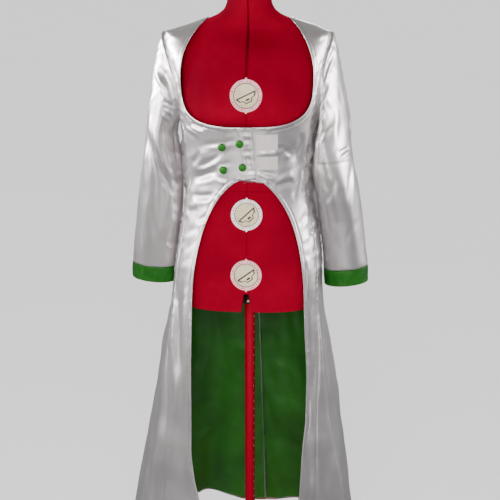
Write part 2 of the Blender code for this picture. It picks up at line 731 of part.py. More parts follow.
def inset(layers, first_row=0.0, last_row=0.0, first_column=0.0, last_column=0.0):
    """Draws the edges of matching grids in by a distance, along the grids' own lines."""
    layers = [layer.copy() for layer in layers]
    moves = (
        (first_row, (0,), (1,)),
        (last_row, (-1,), (-2,)),
        (first_column, (slice(None), 0), (slice(None), 1)),
        (last_column, (slice(None), -1), (slice(None), -2)),
    )
    for distance, edge, beside in moves:
        if distance:
            long = np.linalg.norm(layers[0][beside] - layers[0][edge], axis=-1, keepdims=True)
            share = np.minimum(distance / long, 0.8)
            for layer in layers:
                layer[edge] += (layer[beside] - layer[edge]) * share
    return layers


def coat_layers(side, turn, height, *depths):
    """The coat's points at several depths under its outer surface."""
    outer = coat_body(side, turn, height)
    normal = surface_normal(coat_body, side, turn, height)
    return [outer - normal * depth for depth in depths]


def build_coat_panels(side, grid, material):
    """The front, side and back panels of one side of the coat."""
    name = SIDE_NAMES[side]
    edges = {
        "front": dict(last_row=SEAM_INSET, last_column=SEAM_INSET),
        "side": dict(last_row=SEAM_INSET, first_column=SEAM_INSET, last_column=SEAM_INSET),
        "back": dict(last_row=SEAM_INSET, first_column=SEAM_INSET, last_column=SEAM_INSET),
    }
    for panel, (turn, height) in grid.items():
        layers = coat_layers(side, turn, height, 0.0, SHELL_WALL)
        sheet_wall(f"{panel}_{name}", *inset(layers, **edges[panel]), material)


def build_lining(side, grid, material):
    """The green lining of one tail, from its front edge round to the vent, below the form."""
    turn, height = [
        np.concatenate(
            [
                grid["front"][which][:LINING_ROWS, :-1],
                grid["side"][which][:LINING_ROWS, :-1],
                grid["back"][which][:LINING_ROWS],
            ],
            axis=1,
        )
        for which in (0, 1)
    ]
    top = SHELL_WALL + LINING_GAP
    layers = coat_layers(side, turn, height, top, top + LINING_WALL)
    layers = inset(
        layers,
        first_row=LINING_HEM_INSET,
        first_column=LINING_EDGE_INSET,
        last_column=LINING_EDGE_INSET,
    )
    sheet_wall(f"lining_{SIDE_NAMES[side]}", *layers, material)


def sleeve_ring(side, rounds, height):
    """A ring of the sleeve: an oval across the arm, tipped up at its outer side."""
    rings = SLEEVE_RINGS[side]
    angle = np.radians(rounds)
    half_width = smooth_column(rings, "half_width", height)
    half_depth = smooth_column(rings, "half_depth", height)
    tilt = np.radians(smooth_column(rings, "tilt", height))
    folds = sleeve_fold(rounds, height)
    across = np.sin(angle) * (half_width + folds)
    forward = np.cos(angle) * (half_depth + folds)
    swing = smooth_column(rings, "swing", height)
    x = smooth_column(rings, "x", height) + across * np.cos(tilt) - forward * swing
    y = smooth_column(rings, "y", height) - forward
    return np.stack([side * x, y, height + across * np.sin(tilt)], axis=-1)


def sleeve_fold(rounds, height):
    out = 0.0
    for i in range(len(SLEEVE_FOLDS["depth"])):
        away = (rounds - SLEEVE_FOLDS["round"][i] + 180.0) % 360.0 - 180.0
        near = (away / SLEEVE_FOLDS["round_spread"][i]) ** 2
        near = near + ((height - SLEEVE_FOLDS["height"][i]) / SLEEVE_FOLDS["height_spread"][i]) ** 2
        out = out + SLEEVE_FOLDS["depth"][i] * np.exp(-near)
    return out


def armhole_rounds():
    """The angles round the armhole at which the panels have points, from its front edge back."""
    front = np.linspace(JUNCTION, 90.0, ARMHOLE_ROWS + 1)
    back = np.linspace(90.0, 180.0 - JUNCTION, ARMHOLE_ROWS + 1)[1:]
    under = np.linspace(-180.0 - JUNCTION, JUNCTION, SIDE_COLUMNS + 1)[1:-1] + 360.0
    return np.concatenate([front, back, under])


def sleeve_points(side, rounds):
    """Rings from the armhole, over the sleeve's cap and down the arm to the cuff's top."""
    turn, height = armhole(side, rounds)
    start = coat_body(side, turn, height)
    middle = start.mean(axis=0)
    towards = middle - start
    towards /= np.linalg.norm(towards, axis=1, keepdims=True)
    start = start + towards * SEAM_INSET * 2.0
    top = np.clip(np.sin(np.radians(rounds)), -1.0, 1.0) * 0.5 + 0.5
    first_height = SLEEVE_RINGS[side]["height"][-1]
    end = sleeve_ring(side, rounds, np.full_like(rounds, first_height))
    below = sleeve_ring(side, rounds, np.full_like(rounds, first_height - SLOPE_STEP))
    reach = CAP_REACH[0] + (CAP_REACH[1] - CAP_REACH[0]) * top**1.5
    leave = np.stack([side * reach, np.zeros_like(reach), CAP_LIFT * top**3], axis=1)
    arrival = CAP_ARRIVAL[0] + (CAP_ARRIVAL[1] - CAP_ARRIVAL[0]) * top
    arrive = (below - end) / SLOPE_STEP * arrival[:, None]
    rings = []
    for share in np.linspace(0.0, 1.0, CAP_RINGS + 1):
        rise = 3.0 * share**2 - 2.0 * share**3
        rings.append(
            start * (1.0 - rise) + end * rise
            + leave * (share**3 - 2.0 * share**2 + share)
            + arrive * (share**3 - share**2)
        )
    for ring_height in np.linspace(first_height, CUFF_TOP[side], SLEEVE_ARM_RINGS + 1)[1:]:
        rings.append(sleeve_ring(side, rounds, np.full_like(rounds, ring_height)))
    return np.array(rings)


def tube_normals(rings, side):
    """Outward normals of a stack of rings, from its own neighbouring points."""
    round_it = np.roll(rings, -1, axis=1) - np.roll(rings, 1, axis=1)
    down = np.gradient(rings, axis=0)
    normal = side * np.cross(down, round_it)
    return normal / np.linalg.norm(normal, axis=-1, keepdims=True)


def build_sleeve(side, materials):
    """The sleeve and the green cuff band sewn to its end."""
    rounds = armhole_rounds()
    outer = sleeve_points(side, rounds)
    normal = tube_normals(outer, side)
    inner = outer - normal * SHELL_WALL
    outer[-1, :, 2] += SEAM_INSET
    inner[-1, :, 2] += SEAM_INSET
    tube_wall(f"sleeve_{SIDE_NAMES[side]}", outer, inner, materials["white_satin"])
    cuff_bottom = SLEEVE_RINGS[side]["height"][0]
    heights = np.linspace(CUFF_TOP[side] - SEAM_INSET, cuff_bottom, CUFF_RINGS)
    cuff = np.array([sleeve_ring(side, rounds, np.full_like(rounds, h)) for h in heights])
    lining = cuff - tube_normals(cuff, side) * CUFF_WALL
    tube_wall(f"cuff_{SIDE_NAMES[side]}", cuff, lining, materials["green_satin"])


def turned(name, profile, steps, material):
    """A solid turned round Z from (radius, height) points that start and end on the axis."""
    points, faces = [], []
    angles = [2.0 * math.pi * k / steps for k in range(steps)]
    rings = [(r, z) for r, z in profile if r > 0]
    for r, z in rings:
        points += [(r * math.cos(a), r * math.sin(a), z) for a in angles]
    points += [(0.0, 0.0, profile[0][1]), (0.0, 0.0, profile[-1][1])]
    for i in range(len(rings) - 1):
        for k in range(steps):
            n = (k + 1) % steps
            faces.append((i * steps + k, i * steps + n, (i + 1) * steps + n, (i + 1) * steps + k))
    last = (len(rings) - 1) * steps
    for k in range(steps):
        n = (k + 1) % steps
        faces += [(len(rings) * steps, n, k), (len(rings) * steps + 1, last + k, last + n)]
    return smooth_shaded(new_object(name, mesh_of(name, np.array(points), faces), material), 30.0)


def rod_profile(radius, low, high):
    """The profile of a plain round rod."""
    return [(0.0, low), (radius, low), (radius, high), (0.0, high)]


def turned_ring(name, profile, steps, material):
    """A ring turned round Z from a closed profile of (radius, height) points."""
    count = len(profile)
    points = [
        (r * math.cos(2.0 * math.pi * k / steps), r * math.sin(2.0 * math.pi * k / steps), z)
        for k in range(steps)
        for r, z in profile
    ]
    faces = []
    for k in range(steps):
        n = (k + 1) % steps
        for i in range(count):
            j = (i + 1) % count
            faces.append((k * count + i, k * count + j, n * count + j, n * count + i))
    return smooth_shaded(new_object(name, mesh_of(name, np.array(points), faces), material), 30.0)


def helper(piece, target, operation):
    """Hides a helper and cuts it out of the target, or joins it to the target."""
    piece.hide_render = True
    piece.display_type = "WIRE"
    boolean = target.modifiers.new(piece.name, "BOOLEAN")
    boolean.operation = operation
    boolean.solver = "EXACT"
    boolean.object = piece


def dial_seat(height):
    """The place of a dial's back on the form's front centre, as a matrix whose Z points outwards."""
    turn, at = np.array([0.0]), np.array([height])
    point = Vector(form_point(LEFT, turn, at)[0])
    normal = Vector(surface_normal(form_point, LEFT, turn, at)[0])
    normal.x = 0.0
    normal.normalize()
    place = (-normal).to_track_quat("-Z", "Y").to_matrix().to_4x4()
    place.translation = point - normal * DIAL_SEAT_DEPTH
    return place


def torso_heights():
    """Heights of the form's rings, close together over its shoulders."""
    return np.concatenate([
        [FORM_BOTTOM, FORM_BOTTOM + FORM_EDGE],
        np.linspace(*TORSO_BODY),
        np.linspace(*TORSO_BUST),
        TORSO_SHOULDERS,
        [FORM_TOP - FORM_EDGE, FORM_TOP],
    ])


def build_torso(materials):
    """The form's smooth body with its neck, dial seats, front notch and pole pocket."""
    jersey = materials["red_jersey"]
    turns = np.linspace(-180.0, 180.0, TORSO_COLUMNS + 1)[:-1]
    turn, height = np.meshgrid(turns, torso_heights())
    points = form_point(LEFT, turn, height)
    for row in (0, -1):
        points[row, :, :2] *= FORM_EDGE_SHARE
    rows, columns = turn.shape
    faces = grid_faces(rows, columns, 0, across=0)
    faces += [tuple(range(columns)), tuple(range((rows - 1) * columns, rows * columns))]
    torso = new_object("form_torso", mesh_of("form_torso", points.reshape(-1, 3), faces), jersey)
    smooth_shaded(torso)
    for name, height in DIAL_HEIGHTS.items():
        rod = rod_profile(DIAL_RADIUS + DIAL_CLEARANCE, 0.0, CUTTER_REACH)
        seat = turned(f"dial_seat_cutter_{name}", rod, DIAL_STEPS, jersey)
        seat.matrix_world = dial_seat(height)
        helper(seat, torso, "DIFFERENCE")
    rod = rod_profile(POCKET_RADIUS, FORM_BOTTOM - CUTTER_REACH, POCKET_TOP)
    helper(turned("pocket_cutter", rod, ROUND_STEPS, jersey), torso, "DIFFERENCE")
    helper(notch_wedge(jersey), torso, "DIFFERENCE")


def notch_wedge(material):
    """The tapered opening at the bottom of the front centre, down which the pole shows."""
    low, high = FORM_BOTTOM - CUTTER_REACH, FORM_BOTTOM + NOTCH_HEIGHT
    widen = (NOTCH_WIDTH[0] - NOTCH_WIDTH[1]) / NOTCH_HEIGHT * CUTTER_REACH
    bottom, top = (NOTCH_WIDTH[0] + widen) / 2.0, NOTCH_WIDTH[1] / 2.0
    profile = [(-bottom, low), (bottom, low), (top, high), (-top, high)]
    points = np.array([(x, y, z) for y in NOTCH_REACH for x, z in profile])
    faces = [(0, 1, 2, 3), (7, 6, 5, 4)] + [(k, k + 4, (k + 1) % 4 + 4, (k + 1) % 4) for k in range(4)]
    return new_object("notch_cutter", mesh_of("notch_cutter", points, faces), material)


def build_dials(materials):
    """Three dials down the front: a ring and, in it, the round face with its raised key bar."""
    edge, face_top = DIAL_EDGE, DIAL_THICKNESS - DIAL_FACE_SINK
    ring_profile = [
        (DIAL_RING_BORE, 0.0),
        (DIAL_RADIUS, 0.0),
        (DIAL_RADIUS, DIAL_THICKNESS - edge),
        (DIAL_RADIUS - edge, DIAL_THICKNESS),
        (DIAL_RING_BORE + edge, DIAL_THICKNESS),
        (DIAL_RING_BORE, DIAL_THICKNESS - edge),
    ]
    face_profile = [
        (0.0, 0.0),
        (DIAL_FACE_RADIUS, 0.0),
        (DIAL_FACE_RADIUS, face_top - edge),
        (DIAL_FACE_RADIUS - edge, face_top),
        (0.0, face_top),
    ]
    for name, height in DIAL_HEIGHTS.items():
        place = dial_seat(height) @ Matrix.Translation((0.0, 0.0, FIT_GAP))
        ring = turned_ring(f"dial_ring_{name}", ring_profile, DIAL_STEPS, materials["pink_plastic"])
        ring.matrix_world = place
        face = turned(f"dial_face_{name}", face_profile, DIAL_FACE_STEPS, materials["cream_plastic"])
        face.matrix_world = place
        bar = key_bar(f"key_bar_{name}", materials["cream_plastic"])
        bar.matrix_world = place
        helper(bar, face, "UNION")


def key_bar(name, material):
    """The raised half-hexagon below the dial's slanting slot."""
    x, y = KEY_BAR["x"] * MM, KEY_BAR["y"] * MM
    slant = math.radians(KEY_BAR_SLANT)
    across = x * math.cos(slant) - y * math.sin(slant)
    up = x * math.sin(slant) + y * math.cos(slant)
    count = len(across)
    points = np.array([(across[k], up[k], z) for z in KEY_BAR_HEIGHTS for k in range(count)])
    faces = [tuple(range(count))[::-1], tuple(range(count, 2 * count))]
    faces += [(k, (k + 1) % count, (k + 1) % count + count, k + count) for k in range(count)]
    return new_object(name, mesh_of(name, points, faces), material)


def build_stand(materials):
    """The neck's cap, and the pole with its socket in the form, its collar and the round base."""
    dark, red = materials["dark_plastic"], materials["red_enamel"]
    cap = turned("neck_cap", NECK_CAP_PROFILE, ROUND_STEPS, dark)
    cap.location.y = -NECK_LEAN
    turned("pole_socket", SOCKET_PROFILE, ROUND_STEPS, dark)
    rod = rod_profile(POLE_RADIUS, BASE_BORE_FLOOR + FIT_GAP, SOCKET_BOTTOM - FIT_GAP)
    turned("pole", rod, ROUND_STEPS, red)
    turned("base", BASE_PROFILE, BASE_STEPS, red)
    turned_ring("pole_collar", COLLAR_PROFILE, ROUND_STEPS, dark)


def seat_on_coat(side, x, height, radius):
    """Where a flat-backed disc sits on the coat without sinking into it: its point and normal."""
    around = np.radians(np.arange(0.0, 360.0, 30.0))
    at_x = np.append(x + radius * np.cos(around), x)
    at_height = np.append(height + radius * np.sin(around), height)
    turn = turn_at(side, at_x, at_height)
    points = coat_body(side, turn, at_height)
    normal = surface_normal(coat_body, side, turn, at_height).mean(axis=0)
    normal /= np.linalg.norm(normal)
    highest = ((points - points[-1]) @ normal).max()
    return Vector(points[-1] + normal * (highest + BUTTON_LIFT)), Vector(normal)


def build_buttons(material):
    """Four covered buttons on the right front, each a low dome on the cloth."""
    profile = [(r * BUTTON_RADIUS, z * BUTTON_RADIUS) for r, z in BUTTON_PROFILE]
    for i, (x, height) in enumerate(BUTTON_PLACES):
        point, normal = seat_on_coat(RIGHT, x, height, BUTTON_RADIUS)
        button = turned(f"button_{i + 1}", profile, BUTTON_STEPS, material)
        place = (-normal).to_track_quat("-Z", "Y").to_matrix().to_4x4()
        place.translation = point
        button.matrix_world = place


def build_patches(material):
    """Two strips of loop tape on the left front, on which the closure fastens."""
    for i, heights in enumerate(PATCH_HEIGHTS):
        columns, rows = PATCH_GRID
        x, height = np.meshgrid(np.linspace(*PATCH_X, columns), np.linspace(*heights, rows))
        turn = turn_at(LEFT, x.ravel(), height.ravel()).reshape(x.shape)
        layers = coat_layers(LEFT, turn, height, -PATCH_LIFT - PATCH_THICKNESS, -PATCH_LIFT)
        sheet_wall(f"loop_patch_{i + 1}", *layers, material)


def make_materials():
    made = {}
    for name, (red, green, blue, roughness, metallic) in COLOURS.items():
        material = bpy.data.materials.new(name)
        material.use_nodes = True
        shader = material.node_tree.nodes["Principled BSDF"]
        shader.inputs["Base Color"].default_value = (red, green, blue, 1.0)
        shader.inputs["Roughness"].default_value = roughness
        shader.inputs["Metallic"].default_value = metallic
        made[name] = material
    return made


def build_coat(materials):
    for side in (RIGHT, LEFT):
        grid = coat_grid(side)
        build_coat_panels(side, grid, materials["white_satin"])
        build_lining(side, grid, materials["green_satin"])
        build_sleeve(side, materials)
    build_buttons(materials["green_satin"])
    build_patches(materials["loop_tape"])


def main():
    for piece in list(bpy.data.objects):
        bpy.data.objects.remove(piece)
    materials = make_materials()
    build_torso(materials)
    build_dials(materials)
    build_stand(materials)
    build_coat(materials)


main()
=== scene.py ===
import math

import bmesh
import bpy
import numpy as np
from mathutils import Matrix, Vector


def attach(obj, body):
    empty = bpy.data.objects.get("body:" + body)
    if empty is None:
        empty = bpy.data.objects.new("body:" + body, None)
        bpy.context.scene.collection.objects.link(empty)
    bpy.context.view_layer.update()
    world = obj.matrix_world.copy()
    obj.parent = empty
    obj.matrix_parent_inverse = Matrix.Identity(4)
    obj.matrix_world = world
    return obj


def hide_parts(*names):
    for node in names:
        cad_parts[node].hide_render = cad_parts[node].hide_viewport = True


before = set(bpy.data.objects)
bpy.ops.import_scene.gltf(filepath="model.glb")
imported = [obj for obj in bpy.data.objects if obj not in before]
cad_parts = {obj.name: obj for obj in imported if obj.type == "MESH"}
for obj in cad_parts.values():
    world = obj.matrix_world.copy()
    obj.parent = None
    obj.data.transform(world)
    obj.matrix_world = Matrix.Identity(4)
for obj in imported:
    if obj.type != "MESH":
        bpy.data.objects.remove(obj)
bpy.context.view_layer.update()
print("frame loaded,", len(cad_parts), "solids")

mm = 0.001
right, left = -1, 1  # the wearer's right is on -X
sideName = {right: "right", left: "left"}


def columns(names, *rows):
    # a table as one array for each named column
    return dict(zip(names.split(), np.array(rows, float).T))


def smoothStep(value, low, high):
    # 3t^2 - 2t^3, where t is how far value has gone from low to high
    share = np.clip((value - low) / (high - low), 0.0, 1.0)
    return share * share * (3.0 - 2.0 * share)


def hermite(t):
    # weights of the far end, and of the slopes at the near end and the far end
    return 3.0 * t**2 - 2.0 * t**3, t**3 - 2.0 * t**2 + t, t**3 - t**2


def bell(value, width):
    # exp(-(value / width)^2)
    return np.exp(-((value / width) ** 2))


def unit(vectors):
    return vectors / np.maximum(np.linalg.norm(vectors, axis=-1, keepdims=True), 1e-12)


def lengthAlong(line):
    # how far along the line each of its points is
    return np.concatenate([[0.0], np.cumsum(np.linalg.norm(np.diff(line, axis=0), axis=1))])


def smoothColumn(rows, name, at, key="height"):
    # monotone cubic through a table's column: Hermite pieces with harmonic mean slopes
    known, values = rows[key], rows[name]
    widths = np.diff(known)
    slopes = np.diff(values) / widths
    product, total = slopes[:-1] * slopes[1:], slopes[:-1] + slopes[1:]
    inner = np.where(product > 0, 2.0 * product / np.where(total == 0, 1.0, total), 0.0)
    tangents = np.concatenate([slopes[:1], inner, slopes[-1:]])
    at = np.clip(np.asarray(at, float), known[0], known[-1])
    i = np.clip(np.searchsorted(known, at, side="right") - 1, 0, len(widths) - 1)
    rise, leave, arrive = hermite((at - known[i]) / widths[i])
    slope = leave * tangents[i] + arrive * tangents[i + 1]
    return values[i] * (1.0 - rise) + values[i + 1] * rise + slope * widths[i]


def waves(across, along, seed, shortest, longest, lean=1.0, count=16):
    # uneven ripples: a sum of sines with random directions, lengths and phases, longer ones taller;
    # lean over 1 draws them out across, under 1 along
    rng = np.random.default_rng(seed)
    out = np.zeros_like(across)
    for _ in range(count):
        length = math.exp(rng.uniform(math.log(shortest), math.log(longest)))
        angle, phase = rng.uniform(0.0, math.pi), rng.uniform(0.0, 2.0 * math.pi)
        turned = (across * math.cos(angle) / lean + along * math.sin(angle)) / length
        out += np.sin(2.0 * math.pi * turned + phase) * (length / longest) ** 0.7
    return out / math.sqrt(count / 2.0)


def besideLine(x, z, startX, startZ, endX, endZ):
    # where points lie by a line: their share of the way along it, and how far off it they are
    runX, runZ = endX - startX, endZ - startZ
    long = math.hypot(runX, runZ)
    x, z = x - startX, z - startZ
    return (x * runX + z * runZ) / long**2, (z * runX - x * runZ) / long


def creases(across, along, marks, scale):
    # each mark is a soft trough or ridge along a bent line: depth * exp(-(q^2)), where q is the distance
    # from the line over its width; partner raises the opposite beside it, and the ends fade out;
    # scale is the metres round for each degree
    out = np.zeros(np.broadcast(across, along).shape)
    for fromTurn, fromHeight, toTurn, toHeight, bend, width, depth, partner in marks:
        share, away = besideLine(across * scale, along, fromTurn * scale, fromHeight, toTurn * scale, toHeight)
        inside = np.clip(share, 0.0, 1.0)
        q = (away - bend * mm * 4.0 * inside * (1.0 - inside)) / (width * mm)
        ends = smoothStep(share, -0.10, 0.30) * (1.0 - smoothStep(share, 0.70, 1.10))
        out += depth * mm * ends * (bell(q, 1.0) - partner * bell(q - 1.7, 1.0))
    return out


def newMesh(name, points, faces):
    mesh = bpy.data.meshes.new(name)
    mesh.from_pydata(points, [], faces)
    return mesh


def addObject(name, data):
    # an object of the scene with this mesh, lamp or camera
    made = bpy.data.objects.new(name, data)
    bpy.context.scene.collection.objects.link(made)
    return made


def gridNormals(points, roundIt=False):
    # unit cross product of the steps along the rows and along the columns
    if roundIt:
        acrossIt = np.roll(points, -1, axis=1) - np.roll(points, 1, axis=1)
    else:
        acrossIt = np.gradient(points, axis=1)
    return unit(np.cross(acrossIt, np.gradient(points, axis=0)))


def outwardNormals(points, middle, roundIt=False):
    # grid normals turned to point away from the middle
    normal = gridNormals(points, roundIt)
    return normal * (1.0 if np.sum(normal * (points - middle)) > 0 else -1.0)


def axisOf(points):
    # for each point, the point of the Z axis at its height
    return points * np.array([0.0, 0.0, 1.0])


def lifted(points, field, middle=None, roundIt=False):
    # points moved outwards along their normals by the field, in metres
    middle = axisOf(points) if middle is None else middle
    return points + outwardNormals(points, middle, roundIt) * field[..., None]


def gridMesh(name, points, middle, roundIt=False, caps=False):
    # rows x columns of points joined by quads that face away from the middle, with UVs in metres
    rows, cols = points.shape[:2]
    index = np.arange(rows * cols).reshape(rows, cols)
    closed = np.concatenate([points, points[:, :1]], axis=1) if roundIt else points
    if roundIt:
        index = np.concatenate([index, index[:, :1]], axis=1)
    stepAcross = np.linalg.norm(np.diff(closed, axis=1), axis=-1)
    stepAlong = np.linalg.norm(np.diff(closed, axis=0), axis=-1).mean(axis=1)
    acrossIt = np.concatenate([np.zeros((rows, 1)), np.cumsum(stepAcross, axis=1)], axis=1)
    alongIt = np.concatenate([[0.0], np.cumsum(stepAlong)])
    uv = np.stack([acrossIt, np.broadcast_to(alongIt[:, None], acrossIt.shape)], axis=-1)
    corners = ((0, 0), (0, 1), (1, 1), (1, 0))
    normal = gridNormals(points, roundIt)
    if np.sum(normal * (points - middle)) < 0:
        corners = corners[::-1]
    last = (index.shape[0] - 1, index.shape[1] - 1)
    quads = np.stack([index[i:last[0] + i, j:last[1] + j] for i, j in corners], axis=-1).reshape(-1, 4)
    quadUv = np.stack([uv[i:last[0] + i, j:last[1] + j] for i, j in corners], axis=2).reshape(-1, 2)
    faces = quads.tolist()
    if caps:
        faces += [index[0, :-1].tolist(), index[-1, :-1].tolist()]
        quadUv = np.concatenate([quadUv, uv[0, :-1], uv[-1, :-1]])
    mesh = newMesh(name, points.reshape(-1, 3).tolist(), faces)
    mesh.uv_layers.new(name="UVMap").data.foreach_set("uv", quadUv.astype(np.float32).ravel())
    if caps:
        facesOutwards(mesh)
    mesh.shade_smooth()
    return mesh


def facesOutwards(mesh, weld=0.0):
    # merges doubles if asked, then turns every face of a closed shell outwards
    shape = bmesh.new()
    shape.from_mesh(mesh)
    if weld:
        bmesh.ops.remove_doubles(shape, verts=shape.verts, dist=weld)
    bmesh.ops.recalc_face_normals(shape, faces=shape.faces)
    shape.to_mesh(mesh)
    shape.free()


def turnedPoints(profile, steps):
    # a (radius, height) profile turned round Z: x = r cos a, y = r sin a
    angle = np.linspace(0.0, 2.0 * math.pi, steps, endpoint=False)
    r, z = np.array(profile, float).T
    x, y = r[:, None] * np.cos(angle), r[:, None] * np.sin(angle)
    return np.stack([x, y, np.broadcast_to(z[:, None], x.shape)], axis=-1)


def roundedProfile(corners, radius, steps=3):
    # each corner of a profile becomes an arc: a quadratic curve between points a radius either side
    corners = np.array(corners, float)
    out = [corners[0]]
    for before, at, after in zip(corners[:-2], corners[1:-1], corners[2:]):
        ends = [at + unit(to - at) * min(radius, np.linalg.norm(to - at) * 0.45) for to in (before, after)]
        for t in np.linspace(0.0, 1.0, steps + 1):
            out.append(ends[0] * (1 - t) ** 2 + at * 2 * t * (1 - t) + ends[1] * t**2)
    out.append(corners[-1])
    return np.array(out)


def turnedMesh(name, profile, steps, place=Matrix.Identity(4)):
    # a closed solid turned from a profile that starts and ends on the axis
    flat, rows = turnedPoints(profile, steps).reshape(-1, 3), len(profile)
    index = np.arange(rows * steps).reshape(rows, steps)
    index = np.concatenate([index, index[:, :1]], axis=1)
    quads = np.stack([index[:-1, :-1], index[:-1, 1:], index[1:, 1:], index[1:, :-1]], axis=-1)
    mesh = newMesh(name, flat.tolist(), quads.reshape(-1, 4).tolist())
    facesOutwards(mesh, weld=1e-6)
    mesh.transform(place)
    mesh.shade_smooth()
    mesh.set_sharp_from_angle(angle=math.radians(42.0))
    return mesh


def ringMesh(name, profile, steps, place=Matrix.Identity(4)):
    # a ring turned from a closed profile
    return turnedMesh(name, np.concatenate([profile, profile[:1]]), steps, place)


def showPiece(name, mesh, material, nodes=()):
    piece = addObject(name, mesh)
    piece.data.materials.append(material)
    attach(piece, "root")
    if nodes:
        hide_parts(*nodes)
    return piece


def solidify(piece, thickness):
    wall = piece.modifiers.new("wall", "SOLIDIFY")
    wall.thickness, wall.offset, wall.use_even_offset = thickness * mm, -1.0, False


def showSheet(name, points, look, node, wall, ringMiddle=None):
    # a grid of points as a cloth wall of this many mm
    if ringMiddle is None:
        mesh = gridMesh(name, points, axisOf(points))
    else:
        mesh = gridMesh(name, points, ringMiddle, roundIt=True)
    piece = showPiece(name, mesh, look, [node])
    solidify(piece, wall)


def linearHex(text):
    # an sRGB hex colour as linear RGBA: ((c + 0.055) / 1.055) ^ 2.4 above 0.04045
    values = [int(text[i:i + 2], 16) / 255.0 for i in (1, 3, 5)]
    return tuple(c / 12.92 if c <= 0.04045 else ((c + 0.055) / 1.055) ** 2.4 for c in values) + (1.0,)


def addNode(tree, kind, settings=None, **links):
    # adds a node: settings are its properties or input values, or a ramp's stops of position and colour,
    # and links are input name = output socket
    node = tree.nodes.new(kind)
    for name, value in (settings or {}).items():
        if name == "stops":
            stops = node.color_ramp.elements
            while len(stops) < len(value):
                stops.new(0.5)
            for stop, (position, colour) in zip(stops, value):
                stop.position, stop.color = position, colour
        elif isinstance(name, int) or name in node.inputs:
            node.inputs[name].default_value = value
        else:
            setattr(node, name, value)
    for name, socket in links.items():
        number = name.lstrip("_")
        tree.links.new(socket, node.inputs[int(number) if number.isdigit() else name.replace("_", " ")])
    return node


def newMaterial(name, settings):
    # a material whose shader has these values: the material, its nodes and the shader
    material = bpy.data.materials.new(name)
    material.use_nodes = True
    tree = material.node_tree
    shader = tree.nodes["Principled BSDF"]
    for socket, value in settings.items():
        shader.inputs[socket].default_value = value
    return material, tree, shader


def satin(name, looks):
    # polyester satin: long floats of filament yarn, so a broad silky highlight and grey in the turns
    sockets = {"Metallic": "metallic", "Roughness": "roughness", "Specular IOR Level": "specular"}
    material, tree, shader = newMaterial(name, {socket: looks[key] for socket, key in sockets.items()})
    coords = addNode(tree, "ShaderNodeTexCoord")
    spot = coords.outputs["Object"]
    cloud = addNode(tree, "ShaderNodeTexNoise", {"Scale": 9.0, "Detail": 2.0}, Vector=spot)
    stops = ((0.3, linearHex(looks["shade"])), (0.7, linearHex(looks["colour"])))
    colour = addNode(tree, "ShaderNodeValToRGB", {"stops": stops}, Fac=cloud.outputs["Fac"]).outputs["Color"]
    if "fade" in looks:
        # painted shade: the colour drops to this share above the first height, as the form above shades the
        # lining's top, and is all there below the second
        high, low, share = looks["fade"]
        axes = addNode(tree, "ShaderNodeSeparateXYZ", {}, Vector=spot)
        drop = addNode(tree, "ShaderNodeMapRange", {1: low, 2: high, 3: 1.0, 4: share}, _0=axes.outputs["Z"])
        drop = drop.outputs["Result"]
        faded = addNode(tree, "ShaderNodeVectorMath", {"operation": "SCALE"}, _0=colour, Scale=drop)
        colour = faded.outputs["Vector"]
    tree.links.new(colour, shader.inputs["Base Color"])
    # crumple about 8 to 25 mm across, then the yarns: real ones are 0.1 mm, drawn at 0.9 mm to show at all
    crumple = addNode(tree, "ShaderNodeTexNoise", {
        "Scale": looks["crumpleScale"], "Detail": 2.5, "Roughness": 0.45,
    }, Vector=spot)
    yarn = addNode(tree, "ShaderNodeMapping", {"Scale": (240.0, 1100.0, 1.0)}, Vector=coords.outputs["UV"])
    yarns = addNode(tree, "ShaderNodeTexNoise", {"Scale": 1.0, "Detail": 1.0}, Vector=yarn.outputs["Vector"])
    fine = addNode(tree, "ShaderNodeBump", {"Strength": looks["yarnBump"], "Distance": 0.0002},
                   Height=yarns.outputs["Fac"])
    rough = addNode(tree, "ShaderNodeBump", {"Strength": looks["crumpleBump"], "Distance": 0.002},
                    Height=crumple.outputs["Fac"], Normal=fine.outputs["Normal"])
    tree.links.new(rough.outputs["Normal"], shader.inputs["Normal"])
    return material


whiteSatin = satin("silver white polyester satin", {
    "colour": "#D6D2D2", "shade": "#CAC6C8", "metallic": 0.84, "roughness": 0.38, "specular": 0.5,
    "crumpleScale": 55.0, "crumpleBump": 0.16, "yarnBump": 0.25,
})
# the lining is painted darker towards its top, as the shade of the form above it
liningSatin = satin("green polyester lining satin", {
    "colour": "#2C7523", "shade": "#225B1C", "metallic": 0.15, "roughness": 0.42, "specular": 0.4,
    "crumpleScale": 60.0, "crumpleBump": 0.4, "yarnBump": 0.25, "fade": (0.72, 0.30, 0.68),
})
greenSatin = satin("bottle green polyester satin", {
    "colour": "#226E1A", "shade": "#195614", "metallic": 0.25, "roughness": 0.46, "specular": 0.18,
    "crumpleScale": 60.0, "crumpleBump": 0.5, "yarnBump": 0.25,
})


